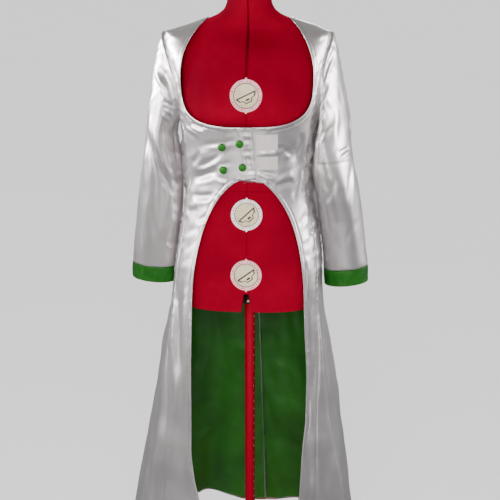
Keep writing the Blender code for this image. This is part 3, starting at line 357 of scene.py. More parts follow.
def jersey(name, colour, shade):
    # foam-backed nylon jersey: matt, with a faint velvety edge and tiny loops; loops of 0.6 mm drawn at 1.5 mm
    material, tree, shader = newMaterial(name, {
        "Roughness": 0.92, "Specular IOR Level": 0.02, "Sheen Weight": 0.03, "Sheen Roughness": 0.5,
        "Sheen Tint": linearHex("#C00018"),
    })
    spot = addNode(tree, "ShaderNodeTexCoord").outputs["Object"]
    cloud = addNode(tree, "ShaderNodeTexNoise", {"Scale": 14.0, "Detail": 3.0}, Vector=spot)
    stops = ((0.3, linearHex(shade)), (0.7, linearHex(colour)))
    cloth = addNode(tree, "ShaderNodeValToRGB", {"stops": stops}, Fac=cloud.outputs["Fac"])
    # painted shade: the seam grooves are darkened towards a near-black red, partly the seams' own darker line
    seam = addNode(tree, "ShaderNodeAttribute", {"attribute_name": "seam"})
    mixed = addNode(tree, "ShaderNodeMix", {"data_type": "RGBA", 7: linearHex("#3A0008")},
                    _0=seam.outputs["Fac"], _6=cloth.outputs["Color"])
    tree.links.new(mixed.outputs[2], shader.inputs["Base Color"])
    loops = addNode(tree, "ShaderNodeTexNoise", {"Scale": 650.0, "Detail": 1.0}, Vector=spot)
    bump = addNode(tree, "ShaderNodeBump", {"Strength": 0.35, "Distance": 0.0004}, Height=loops.outputs["Fac"])
    tree.links.new(bump.outputs["Normal"], shader.inputs["Normal"])
    return material


def mottled(name, settings, shade, colour, scale, detail, bump=None, ends=(0.3, 0.7)):
    # two near shades in a noise, which also lifts the surface where bump gives a strength and depth in metres
    material, tree, shader = newMaterial(name, settings)
    spot = addNode(tree, "ShaderNodeTexCoord").outputs["Object"]
    cloud = addNode(tree, "ShaderNodeTexNoise", {"Scale": scale, "Detail": detail}, Vector=spot).outputs["Fac"]
    stops = ((ends[0], linearHex(shade)), (ends[1], linearHex(colour)))
    ramp = addNode(tree, "ShaderNodeValToRGB", {"stops": stops}, Fac=cloud)
    tree.links.new(ramp.outputs["Color"], shader.inputs["Base Color"])
    if bump:
        lift = addNode(tree, "ShaderNodeBump", {"Strength": bump[0], "Distance": bump[1]}, Height=cloud)
        tree.links.new(lift.outputs["Normal"], shader.inputs["Normal"])
    return material


def plastic(name, colour, shade, roughness, speckle=90.0):
    # moulded polystyrene: a soft even gloss, faintly mottled by handling
    settings = {"Roughness": roughness, "IOR": 1.55}
    return mottled(name, settings, shade, colour, speckle, 3.0, (0.1, 0.0004), (0.35, 0.65))


redJersey = jersey("red nylon jersey on foam", "#8C0020", "#80001D")
pinkPlastic = plastic("pale pink moulded polystyrene", "#FFC2C4", "#FBB0B4", 0.5)
whitePlastic = plastic("off-white moulded polystyrene", "#FFFAF8", "#FFF2F0", 0.5)
creamPlastic = plastic("cream moulded polystyrene", "#E4D8B4", "#DACB9F", 0.45)
darkPlastic = plastic("black moulded polystyrene", "#2A1212", "#1E0C0C", 0.45)
markPaint = plastic("red printed marks", "#B4283A", "#A01E30", 0.5)
# spun polyester thread: dull, with a fine speckle from its fibres; its dark grey is painted shade along the
# stitched lines
threadWithShade = plastic("grey polyester thread darkened as painted shade", "#6E6B70", "#5F5C62", 0.6, speckle=400.0)
# stoved enamel on steel: a smooth even red, its gloss dulled by handling
redEnamel = mottled("red stoved enamel", {
    "Roughness": 0.55, "Specular IOR Level": 0.05, "Coat Weight": 0.01, "Coat Roughness": 0.3, "IOR": 1.5,
}, "#94001E", "#9E0022", 300.0, 1.0, (0.06, 0.0005))
# woven loop tape: matt pile of tiny nylon loops, drawn at 1.6 mm for real ones of 0.8 mm
loopTape = mottled("white nylon loop tape", {
    "Roughness": 0.92, "Specular IOR Level": 0.2, "Sheen Weight": 0.3, "Sheen Roughness": 0.6,
}, "#BCB4B2", "#DCD4D0", 620.0, 2.0, (0.7, 0.0008))
print("materials made")

# the ovals of the form, and of the coat round it, by height
formShape = columns(
    "height halfWidth front back roundness",
    (0.784, 0.166, 0.124, 0.122, 2.9),
    (0.860, 0.168, 0.127, 0.128, 2.7),
    (0.930, 0.160, 0.121, 0.121, 2.5),
    (1.000, 0.143, 0.112, 0.106, 2.3),
    (1.065, 0.132, 0.105, 0.095, 2.3),
    (1.130, 0.137, 0.107, 0.096, 2.3),
    (1.200, 0.149, 0.116, 0.101, 2.4),
    (1.260, 0.157, 0.124, 0.106, 2.5),
    (1.310, 0.160, 0.121, 0.109, 2.5),
    (1.350, 0.165, 0.104, 0.103, 2.5),
    (1.380, 0.166, 0.084, 0.090, 2.4),
    (1.396, 0.163, 0.071, 0.079, 2.3),
    (1.408, 0.157, 0.062, 0.071, 2.2),
    (1.420, 0.145, 0.056, 0.065, 2.1),
    (1.430, 0.1270, 0.0540, 0.0615, 2.0),
    (1.438, 0.1045, 0.0525, 0.0585, 2.0),
    (1.4455, 0.0845, 0.0505, 0.0555, 2.0),
    (1.453, 0.069, 0.049, 0.052, 2.0),
    (1.466, 0.055, 0.048, 0.050, 2.0),
    (1.484, 0.049, 0.048, 0.049, 2.0),
    (1.532, 0.048, 0.048, 0.048, 2.0),
)
coatShape = columns(
    "height shift halfWidth front back roundness",
    (0.130, -0.0195, 0.289, 0.178, 0.212, 2.3),
    (0.230, -0.0175, 0.2745, 0.172, 0.204, 2.3),
    (0.370, -0.014, 0.252, 0.162, 0.190, 2.3),
    (0.510, -0.0115, 0.2295, 0.153, 0.176, 2.3),
    (0.650, -0.010, 0.207, 0.145, 0.161, 2.5),
    (0.800, -0.006, 0.182, 0.138, 0.143, 2.8),
    (0.870, -0.003, 0.176, 0.136, 0.138, 2.7),
    (0.930, 0.000, 0.169, 0.129, 0.130, 2.5),
    (0.980, 0.000, 0.160, 0.121, 0.120, 2.4),
    (1.065, 0.000, 0.149, 0.112, 0.108, 2.4),
    (1.130, 0.000, 0.151, 0.114, 0.107, 2.4),
    (1.200, 0.000, 0.159, 0.123, 0.111, 2.4),
    (1.260, 0.000, 0.165, 0.131, 0.116, 2.5),
    (1.310, -0.002, 0.173, 0.128, 0.120, 2.5),
    (1.350, -0.004, 0.181, 0.112, 0.114, 2.5),
    (1.383, -0.005, 0.188, 0.092, 0.101, 2.4),
    (1.400, -0.005, 0.190, 0.078, 0.089, 2.3),
    (1.412, -0.005, 0.187, 0.067, 0.079, 2.2),
    (1.420, -0.003, 0.167, 0.062, 0.073, 2.1),
    (1.430, 0.000, 0.137, 0.057, 0.066, 2.0),
    (1.438, 0.000, 0.114, 0.0545, 0.062, 2.0),
    (1.446, 0.000, 0.090, 0.0525, 0.058, 2.0),
    (1.454, 0.000, 0.066, 0.0505, 0.054, 2.0),
)
bodyLooks = {
    "neckLean": 0.024, "leanHeights": (1.415, 1.500),
    "bustApex": (0.068, 1.268), "bustSpread": (0.050, 0.046), "bustDepth": 0.016,
    "formBottom": 0.784, "formTop": 1.532, "waist": 1.066,
}


def bust(x, turn, height):
    # two soft mounds: depth * exp(-dx^2 - dz^2), on the front only
    acrossIt = (np.abs(x) - bodyLooks["bustApex"][0]) / bodyLooks["bustSpread"][0]
    up = (height - bodyLooks["bustApex"][1]) / bodyLooks["bustSpread"][1]
    front = np.clip(np.cos(np.radians(turn)) * 2.0, 0.0, 1.0)
    return bodyLooks["bustDepth"] * np.exp(-(acrossIt**2) - up**2) * front


def oval(shape, side, turn, height):
    # a rounded oval: x = w sin(turn)^p, y = -d cos(turn)^p, with p = 2 / roundness
    angle = np.radians(turn)
    power = 2.0 / smoothColumn(shape, "roundness", height)
    s, c = np.sin(angle), np.cos(angle)
    x = side * smoothColumn(shape, "halfWidth", height) * np.sign(s) * np.abs(s) ** power
    depth = np.where(c > 0, -smoothColumn(shape, "front", height), smoothColumn(shape, "back", height))
    y = depth * np.abs(c) ** power
    if "shift" in shape:
        x = x + smoothColumn(shape, "shift", height)
    y = y - bodyLooks["neckLean"] * smoothStep(height, *bodyLooks["leanHeights"])
    return np.stack([x, y, np.broadcast_to(height, x.shape)], axis=-1)


def formPoint(turn, height):
    point = oval(formShape, left, turn, height)
    point[..., 1] -= bust(point[..., 0], turn, height)
    return point


dialLooks = {
    "heights": {"bust": 1.283, "waist": 1.014, "hip": 0.876},
    "radius": 35.5, "faceRadius": 27.0, "bore": 27.5, "thickness": 7.0, "seat": 4.6, "clearance": 0.6,
    "faceTop": 5.4, "edge": 1.3, "tabHeights": (4.2, 6.6), "keyHeights": (2.0, 7.6),
    "holeHeights": (7.4, 7.66), "marks": 32, "markRise": 0.18, "sharp": 40.0,
    "slants": {"bust": 26.0, "waist": 43.0, "hip": 36.0},
}


def dialPlace(height):
    # the dial's back on the form's centre front, its Z pointing outwards
    turn, step = np.array([0.0, 0.5, -0.5, 0.0, 0.0]), 0.002
    points = formPoint(turn, np.array([height, height, height, height + step, height - step]))
    normal = Vector(np.cross(points[1] - points[2], points[3] - points[4]))
    normal.x = 0.0
    normal.normalize()
    place = (-normal).to_track_quat("-Z", "Y").to_matrix().to_4x4()
    place.translation = Vector(points[0]) - normal * dialLooks["seat"] * mm
    return place


def cutWith(target, cutters):
    # takes closed helper meshes out of the target, then keeps the result as its plain mesh
    made = [addObject(f"cutter{k}", cutter) for k, cutter in enumerate(cutters)]
    for k, helper in enumerate(made):
        boolean = target.modifiers.new(f"cut{k}", "BOOLEAN")
        boolean.operation, boolean.solver, boolean.object = "DIFFERENCE", "EXACT", helper
    shown = target.evaluated_get(bpy.context.evaluated_depsgraph_get())
    mesh = bpy.data.meshes.new_from_object(shown)
    target.modifiers.clear()
    target.data = mesh
    for helper in made:
        bpy.data.objects.remove(helper)


torsoLooks = {
    "seamDepth": 1.3, "waistDepth": 0.8, "slack": 0.25, "paintedSeamShade": (0.9, 0.8, 0.6), "perDegree": 0.0026,
    "notchWidth": (0.025, 0.012), "notchHeight": 0.046, "pocketRadius": 0.034, "pocketTop": 0.850,
    "below": 0.05, "sharp": 50.0,
}


def buildTorso():
    # columns crowd together at the centre front, back and side seams, rows at the waist seam
    fine = np.array([0.0, 0.35, 0.7, 1.1, 1.7, 2.6])
    turns = np.concatenate([
        -np.flip(fine[1:]), fine, np.linspace(4.0, 86.0, 42), [88.0, 89.0, 90.0, 91.0, 92.0],
        np.linspace(94.0, 176.0, 34), [178.0, 179.0, 180.0, 181.0, 182.0],
        np.linspace(184.0, 266.0, 34), [268.0, 269.0, 270.0, 271.0, 272.0], np.linspace(274.0, 356.0, 42),
    ])
    looks, waist = torsoLooks, bodyLooks["waist"]
    low, top = bodyLooks["formBottom"], bodyLooks["formTop"]
    heights = np.concatenate([
        low + np.array([0.0, 0.0012, 0.003, 0.006]), np.linspace(low + 0.012, waist - 0.008, 44),
        waist + np.array([-0.004, -0.002, -0.001, 0.0, 0.001, 0.002, 0.004]),
        np.linspace(waist + 0.009, 1.39, 54), np.linspace(1.396, 1.470, 22),
        np.linspace(1.476, top - 0.005, 7), [top - 0.0015, top],
    ])
    turn, height = np.meshgrid(turns, heights)
    points = formPoint(turn, height)
    points[:3, :, :2] *= np.array([0.965, 0.985, 0.996])[:, None, None]
    neckMiddle = np.array([0.0, -bodyLooks["neckLean"]])
    points[-1, :, :2] = (points[-1, :, :2] - neckMiddle) * 0.975 + neckMiddle
    away = (turn + 180.0) % 360.0 - 180.0
    side = np.minimum(np.abs(away), np.minimum(np.abs(np.abs(away) - 90.0) + 0.5, 180.0 - np.abs(away)))
    # stitched seams: narrow grooves at the centre front and back, the sides and the waist
    neck = smoothStep(height, 1.30, 1.50)
    centre = bell(np.abs(away), 0.35 + 0.55 * neck)
    centre *= 0.25 + 0.35 * smoothStep(height, 1.15, 1.32) + 0.8 * neck
    sides = 0.5 * bell(side, 0.8) * (np.abs(away) > 45.0)
    belt = 0.35 * bell(height - waist, 0.0012)
    groove = looks["seamDepth"] * mm * (centre + sides) + looks["waistDepth"] * mm * belt
    shallow = looks["slack"] * mm * waves(turn * looks["perDegree"], height, 5, 0.03, 0.12)
    points = lifted(points, -groove - np.maximum(shallow, 0.0), roundIt=True)
    mesh = gridMesh("dressFormTorso", points, axisOf(points), roundIt=True, caps=True)
    # each seam's painted shade in its groove, partly its own darker line, kept from 0 to 1
    dark = sum(shade * seam for shade, seam in zip(looks["paintedSeamShade"], (centre, belt, sides)))
    dark = np.clip(dark, 0.0, 1.0)
    mesh.attributes.new("seam", "FLOAT", "POINT").data.foreach_set("value", dark.astype(np.float32).ravel())
    torso = showPiece("dressFormTorso", mesh, redJersey, ["form_torso"])
    r = (dialLooks["radius"] + dialLooks["clearance"]) * mm
    seat = [(0, 0), (r, 0), (r, 0.05), (0, 0.05)]
    cutters = [turnedMesh("seat", seat, 96, dialPlace(at)) for at in dialLooks["heights"].values()]
    # the pole's pocket and the notch in the front's lower edge, both begun below the form
    r, t, bottom = looks["pocketRadius"], looks["pocketTop"], low - looks["below"]
    cutters.append(turnedMesh("pocket", [(0, bottom), (r, bottom), (r, t), (0, t)], 64))
    (wide, narrow), high = looks["notchWidth"], low + looks["notchHeight"]
    spread = wide / 2 + (wide - narrow) / 2 / looks["notchHeight"] * looks["below"]
    outline = np.array([(-spread, bottom), (spread, bottom), (narrow / 2, high), (-narrow / 2, high)])
    corners = [(x, y, z) for y in (-0.20, -0.004) for x, z in outline]
    walls = [(k, k + 4, (k + 1) % 4 + 4, (k + 1) % 4) for k in range(4)]
    wedge = newMesh("notch", corners, [(0, 1, 2, 3), (7, 6, 5, 4)] + walls)
    facesOutwards(wedge)
    cutters.append(wedge)
    cutWith(torso, cutters)
    torso.data.shade_smooth()
    torso.data.set_sharp_from_angle(angle=math.radians(looks["sharp"]))
    return torso


torso = buildTorso()
print("dress form made,", len(torso.data.vertices), "points")


def joined(name, meshes):
    # several small meshes as one
    shape = bmesh.new()
    for mesh in meshes:
        shape.from_mesh(mesh)
    out = bpy.data.meshes.new(name)
    shape.to_mesh(out)
    shape.free()
    return out


def slab(name, outline, low, high, place, bevel=0.0):
    # a flat plate of the outline between two heights, its top drawn in by the bevel
    flat = np.array(outline, float) * mm
    middle = flat.mean(axis=0)
    inner = middle + (flat - middle) * (1.0 - bevel)
    count = len(flat)
    levels = [(flat, low), (flat, high - (high - low) * 0.25), (inner, high)]
    points = [(x, y, z * mm) for ring, z in levels for x, y in ring]
    faces = [list(range(count))[::-1], list(range(2 * count, 3 * count))]
    faces += [(a + k, a + (k + 1) % count, a + count + (k + 1) % count, a + count + k)
              for a in (0, count) for k in range(count)]
    mesh = newMesh(name, points, faces)
    facesOutwards(mesh)
    mesh.transform(place)
    return mesh


def oblong(half, low, high):
    # a rectangle's outline, centred across
    return [(-half, low), (half, low), (half, high), (-half, high)]


def buildDials():
    # each dial's ring with two tabs and plain marks, and its face with a key; dark plastic is painted shade in
    # its slot, round the key, in the key's hole and round the face
    looks = dialLooks
    r, bore, top = looks["radius"], looks["bore"], looks["thickness"]
    face, faceTop, edge = looks["faceRadius"], looks["faceTop"], looks["edge"]
    # profiles as radius and height in millimetres
    ringProfile = np.array([
        (bore, 0.0), (r, 0.0), (r, top - edge), (r - edge * 0.3, top - edge * 0.3), (r - edge, top),
        (r - 1.8, top), (r - 2.1, top - 0.5), (bore + 1.9, top - 0.5), (bore + 1.6, top), (bore + edge, top),
        (bore + edge * 0.3, top - edge * 0.3), (bore, top - edge),
    ]) * mm
    faceProfile = np.array([
        (0.0, 0.0), (face, 0.0), (face, faceTop - 1.0), (face - 0.3, faceTop - 0.3), (face - 1.0, faceTop),
        (face - 3.0, faceTop), (face - 3.5, faceTop - 0.4), (0.0, faceTop - 0.4),
    ]) * mm
    keyHalf = [(6.0, -14.0), (9.0, -8.0), (16.0, -6.5), (19.5, -0.6)]
    keyOutline = np.array([(-x, y) for x, y in keyHalf[::-1]] + keyHalf)
    tabOutline = [(-3.4, r - 0.8), (3.4, r - 0.8), (0.8, r + 3.4), (-0.8, r + 3.4)]
    for name, height in looks["heights"].items():
        place = dialPlace(height) @ Matrix.Translation((0.0, 0.0, 0.3 * mm))
        slanted = place @ Matrix.Rotation(math.radians(looks["slants"][name]), 4, "Z")
        ring = [ringMesh("ring", ringProfile, 96, place)]
        for angle in (0.0, math.pi):
            turned = place @ Matrix.Rotation(angle, 4, "Z")
            ring.append(slab("tab", tabOutline, *looks["tabHeights"], turned, bevel=0.02))
        disc = turnedMesh("disc", faceProfile, 80, place)
        key = slab("key", keyOutline, *looks["keyHeights"], slanted, bevel=0.10)
        ringMaterial = whitePlastic if name == "waist" else pinkPlastic
        for piece, meshes, look, slot, node in (
            (f"dialRing_{name}", ring, ringMaterial, "pink_plastic", f"dial_ring_{name}"),
            (f"dialFace_{name}", [disc, key], creamPlastic, "cream_plastic", f"dial_face_{name}"),
        ):
            mesh = joined(piece, meshes)
            mesh.set_sharp_from_angle(angle=math.radians(looks["sharp"]))
            showPiece(piece, mesh, look, [node])
        # plain marks round the ring, none on every eighth place; then dark plastic as painted shade in the
        # slot beside the key, as the key's shadow, in its hole and in the gap round the face
        marks, high, middle = [], top - 0.55, bore + 3.9
        for k in range(looks["marks"]):
            if k % 8:
                long, half = (1.8, 1.2) if k % 4 == 2 else (1.4, 0.8)
                turned = place @ Matrix.Rotation(2 * math.pi * (k + 0.5) / looks["marks"], 4, "Z")
                outline = oblong(half, middle - long, middle + long)
                marks.append(slab("mark", outline, high, high + looks["markRise"], turned))
        showPiece(f"dialMarks_{name}", joined("marks", marks), markPaint)
        low = faceTop - 0.6
        gapShade = np.array([(face - 0.9, low), (bore + 0.6, low), (bore + 0.6, 6.0), (face - 0.9, 5.5)]) * mm
        dialShade = joined("slot", [
            # the slot, darkened as painted shade in it
            slab("slot", oblong(23.5, -1.6, 2.4), low, low + 0.35, slanted),
            # a dark plate a little larger than the key, under it: painted shadow round the key
            slab("under", keyOutline * 1.18 - [0.0, 0.1], low, low + 0.3, slanted),
            # a dark patch on the key's top: painted shade in its hole
            slab("holeShade", oblong(4.4, -11.4, -6.6), *looks["holeHeights"], slanted),
            # a dark ring in the gap round the face: painted shade
            ringMesh("gapShade", gapShade, 96, place),
        ])
        showPiece(f"dialPaintedShade_{name}", dialShade, darkPlastic)


buildDials()
print("dials made")

standLooks = {
    "poleRadius": 12.5, "collarTop": 0.078, "hubTop": 0.045, "boreFloor": 0.015, "gap": 0.3,
    "socketRadius": 21.0, "socketBottom": 0.818, "neckBottom": 0.768, "capRadius": 0.045,
    "scaleTurn": (-40.0, -35.0, -30.0), "scaleHeights": (0.10, 0.80), "dotHeights": (0.12, 0.79, 0.0205),
}


def rod(radius, low, high, ease):
    # a plain cylinder with eased rims, as a profile
    return roundedProfile([(0, low), (radius, low), (radius, high), (0, high)], ease)


def buildStand():
    # the neck's cap, and the pole with its socket, base, collar and height scale
    looks = standLooks
    gap = looks["gap"] * mm
    bore = looks["poleRadius"] * mm + gap
    top, r = bodyLooks["formTop"], looks["capRadius"]
    cap = roundedProfile([
        (0, top + gap), (r, top + gap), (r, top + 0.0065), (r - 0.004, top + 0.008), (0, top + 0.008),
    ], 0.0015)
    cap = turnedMesh("cap", cap, 96, Matrix.Translation((0, -bodyLooks["neckLean"], 0)))
    showPiece("neckCap", cap, darkPlastic, ["neck_cap"])
    low, under = looks["socketBottom"], looks["neckBottom"]
    socket = rod(looks["socketRadius"] * mm, low, torsoLooks["pocketTop"] - gap, 0.003)
    neck = np.array([
        (bore, under), (0.0146, under), (0.0152, under + 0.002), (0.0152, low + 0.002), (bore, low + 0.002),
    ])
    socket = joined("socket", [turnedMesh("socket", socket, 64), ringMesh("neck", neck, 64)])
    showPiece("poleSocket", socket, darkPlastic, ["pole_socket"])
    facing = Matrix.Translation((-0.0035, -0.0149, 0.776)) @ Matrix.Rotation(math.pi / 2, 4, "X")
    pointer = slab("pointer", [(-3.4, -2.6), (3.4, -2.6), (0.4, 3.2), (-0.4, 3.2)], 0.0, 0.9, facing)
    showPiece("socketPointer", pointer, creamPlastic)
    pole = rod(looks["poleRadius"] * mm, looks["boreFloor"] + gap, looks["socketBottom"] - gap, 0.0006)
    showPiece("standPole", turnedMesh("pole", pole, 64), redEnamel, ["pole"])
    base = roundedProfile([
        (0.0, 0.0), (0.186, 0.0), (0.190, 0.004), (0.190, 0.010), (0.184, 0.015), (0.120, 0.021),
        (0.060, 0.027), (0.034, 0.034), (0.028, 0.045), (bore, 0.045), (bore, looks["boreFloor"]),
        (0.0, looks["boreFloor"]),
    ], 0.006, steps=5)
    showPiece("standBase", turnedMesh("base", base, 128), redEnamel, ["base"])
    low, high = looks["hubTop"] + gap, looks["collarTop"]
    collar = np.array([
        (bore, low), (0.021, low), (0.022, low + 0.002), (0.022, high - 0.006), (0.0215, high - 0.002),
        (0.020, high), (bore, high),
    ])
    showPiece("poleCollar", ringMesh("collar", collar, 64), darkPlastic, ["pole_collar"])
    # the height scale: a dark strip down the pole with small pale dots
    first, middle, last = looks["scaleTurn"]
    across = np.radians(np.linspace(first, last, 5))
    angle, height = np.meshgrid(across, np.linspace(*looks["scaleHeights"], 60))
    r = looks["poleRadius"] * mm + 0.15 * mm
    strip = np.stack([r * np.cos(angle), r * np.sin(angle), height], axis=-1)
    piece = showPiece("poleScale", gridMesh("poleScale", strip, axisOf(strip)), darkPlastic)
    solidify(piece, 0.3)
    dot = np.array([(0.0, 0.0), (1.0, 0.0), (0.9, 0.3), (0.5, 0.5), (0.0, 0.6)]) * mm
    turned = Matrix.Rotation(math.radians(middle), 4, "Z")
    toward = turned @ Matrix.Rotation(math.pi / 2, 4, "Y")
    spots = [turned @ Vector((r, 0, z)) for z in np.arange(*looks["dotHeights"])]
    dots = [turnedMesh("dot", dot, 10, Matrix.Translation(spot) @ toward) for spot in spots]
    showPiece("poleDots", joined("poleDots", dots), creamPlastic)


buildStand()
print("stand made")

# where the coat's edges and seams run, by height, in degrees of turn or metres from the middle
frontEdge = columns(
    "height right left",
    (0.130, 0.085, 0.122),
    (0.310, 0.112, 0.130),
    (0.370, 0.125, 0.133),
    (0.440, 0.132, 0.136),
    (0.520, 0.132, 0.142),
    (0.620, 0.132, 0.143),
    (0.710, 0.130, 0.138),
    (0.790, 0.128, 0.134),
)
frontSeam = columns(
    "height turn",
    (0.130, 41.0), (0.250, 43.0), (0.400, 46.0), (0.540, 51.0), (0.800, 63.5), (0.920, 67.0),
    (1.000, 67.0), (1.070, 62.0), (1.130, 61.0), (1.195, 65.0), (1.236, 75.3),
)
backSeam = columns(
    "height turn",
    (0.130, 118.0), (0.900, 116.0), (1.070, 119.0), (1.180, 116.0), (1.236, 104.7),
)
skirtFolds = {
    right: columns(
        "turn spread depth",
        (37.0, 7.0, -0.008), (58.0, 9.0, 0.010), (80.0, 9.0, -0.012), (103.0, 10.0, 0.016),
        (124.0, 9.0, -0.014), (139.0, 8.0, 0.012), (151.5, 6.0, -0.008), (164.0, 6.5, 0.016),
        (178.0, 7.0, -0.012),
    ),
    left: columns(
        "turn spread depth",
        (42.0, 9.0, -0.014), (66.0, 10.0, 0.009), (88.0, 9.0, -0.011), (109.0, 11.0, 0.015),
        (131.0, 9.0, -0.016), (151.0, 10.0, 0.015), (172.0, 8.0, -0.006),
    ),
}
hemDrops = columns(
    "turn right left",
    (30.0, -0.006, -0.004), (80.0, -0.010, -0.006), (125.0, -0.004, 0.000), (155.0, -0.002, 0.014),
    (170.0, 0.000, 0.020), (185.0, 0.008, 0.024),
)
sideEase = {
    # behind the front seam the cloth hangs clear of the waist, most at this turn and height
    right: {
        "turn": 110.0, "spread": 18.0, "height": 1.120, "reach": 0.085, "depth": 0.031, "ends": (1.135, 1.205),
    },
    left: {
        "turn": 114.0, "spread": 16.0, "height": 1.045, "reach": 0.090, "depth": 0.031, "ends": (1.100, 1.195),
    },
}
dragFolds = (
    # start x and height, end x and height, spread, depth
    (-0.140, 1.075, -0.070, 1.120, 0.016, -0.0035),
    (-0.140, 1.130, -0.080, 1.160, 0.014, 0.0025),
    (0.095, 1.180, 0.125, 1.090, 0.016, -0.0030),
)
cut = {
    "hem": 0.130, "skirtTop": 0.790, "archTop": 1.100, "archCentre": 0.012,
    "archHalf": {right: 0.140, left: 0.122}, "archPull": {right: 0.0, left: 0.009},
    "scoopHalf": {right: 0.1505, left: 0.1470}, "scoopSquare": {right: 3.6, left: 3.3}, "scoopRise": 0.161,
    "neckBottom": 1.2135, "neckWidest": 1.318, "neckTop": 1.4455, "backNeck": 1.428,
    "closureLow": {right: 0.023, left: -0.014}, "closureHigh": {right: 0.013, left: -0.014},
    "lift": 0.0060, "liftRamp": (-0.085, -0.035), "liftHeights": (0.98, 1.06),
    "armTurn": 90.0, "armTop": 1.412, "armBottom": {right: 1.210, left: 1.200},
    "armHalfTurn": {right: 22.0, left: 25.0}, "junction": -48.0,
    "ventTop": 0.930, "ventX": {right: (0.008, 0.037), left: (-0.014, -0.016)},
    "tuck": (0.0028, 0.026), "tuckLead": 0.035, "tuckFlat": 0.070, "tuckSpread": 0.075, "ventEase": 0.05,
    "foldTop": 0.900, "hemDropTop": 0.450,
    "skirtHeights": (0.130, 0.180, 0.240, 0.310, 0.390, 0.475, 0.560, 0.640, 0.715, 0.790),
    "scoopHeights": (1.318, 1.356, 1.390, 1.413, 1.429, 1.439, 1.4435, 1.4455),
    "scoopAngles": (83.0, 70.0, 51.0, 34.0, 16.0, 0.0),
}
# fine rows in each of the 31 bands between the panels' edge lines, from the hem to the shoulder
bandRows = (
    8, 9, 10, 11, 12, 12, 11, 11, 11, 10, 10, 10, 10, 9, 9, 9, 8, 8, 8, 8, 8, 8, 8, 8, 7, 7, 7, 7, 7, 6, 6,
)
rowAt = np.concatenate([np.linspace(k, k + 1, n, endpoint=False) for k, n in enumerate(bandRows)] + [[31.0]])


def wayDown(height, top):
    # how far a height has come from this one towards the hem, 0 to 1
    return np.clip((top - height) / (top - cut["hem"]), 0.0, 1.0)


def skirtFold(side, turn, height):
    # gathers of the skirt: depth * exp(-((turn - fold) / spread)^2), growing from the hip to the hem
    folds = skirtFolds[side]
    growth = wayDown(height, cut["foldTop"]) ** 1.25
    return growth * (folds["depth"] * bell(turn[..., None] - folds["turn"], folds["spread"])).sum(-1)


def easeOut(side, turn, height):
    # a soft bulge: depth * (exp(-(turn off its middle / spread)^2 - (height off its middle / reach)^2)
    # - 0.004), faded out below the armhole
    ease = sideEase[side]
    roundIt, up = (turn - ease["turn"]) / ease["spread"], (height - ease["height"]) / ease["reach"]
    swell = np.maximum(np.exp(-(roundIt**2) - up**2) - 0.004, 0.0)
    return ease["depth"] * swell * (1.0 - smoothStep(height, *ease["ends"]))


def dragFold(x, height):
    # broad pulls across the front: depth * exp(-(distance from a line / spread)^2)
    out = np.zeros_like(x)
    for *ends, spread, depth in dragFolds:
        share, away = besideLine(x, height, *ends)
        out += depth * np.exp(-(((share - 0.5) / 0.45) ** 4)) * bell(away, spread)
    return out


def ventTuck(side, x, turn, height):
    # the right tail lies inside the left one at the centre back
    if side == left:
        return np.zeros_like(x)
    drop = wayDown(height, cut["ventTop"])
    depth = cut["tuck"][0] + (cut["tuck"][1] - cut["tuck"][0]) * drop
    lead = smoothStep(cut["ventTop"] + cut["tuckLead"] - height, 0.0, cut["tuckLead"])
    near = 1.0 - smoothStep(np.abs(x), cut["tuckFlat"], cut["tuckFlat"] + cut["tuckSpread"])
    return -depth * lead * near * (turn > 90.0)


def coatBody(side, turn, height):
    # the oval section pushed out by the skirt's folds, the vent, the pulls, the overlap and the bust
    turn, height = np.broadcast_arrays(np.asarray(turn, float), np.asarray(height, float))
    point = oval(coatShape, side, turn, height)
    x = point[..., 0]
    onFront = turn < 90.0
    lap = cut["lift"] * smoothStep(x, *cut["liftRamp"]) * smoothStep(height, *cut["liftHeights"])
    out = skirtFold(side, turn, height) + easeOut(side, turn, height) + ventTuck(side, x, turn, height)
    out = out + dragFold(x, height) * onFront + lap * onFront * (side == right)
    point = point + unit(point * np.array([1.0, 1.0, 0.0])) * out[..., None]
    point[..., 1] -= bust(x, turn, height)
    return point


def turnAt(side, x, height):
    # the turn, on the front half, at which the surface has this x: looked up row by row
    turns = np.linspace(-20.0, 90.0, 221)
    found = side * coatBody(side, *np.meshgrid(turns, height))[..., 0]
    return np.array([np.interp(side * a, row, turns) for a, row in zip(x, found)])


def armhole(side, roundIt):
    # an oval in turn and height: 0 is its front, 90 its top, -90 under the arm
    angle = np.radians(roundIt)
    middle = (cut["armTop"] + cut["armBottom"][side]) / 2.0
    turn = cut["armTurn"] - cut["armHalfTurn"][side] * np.cos(angle)
    return turn, middle + (cut["armTop"] - middle) * np.sin(angle)


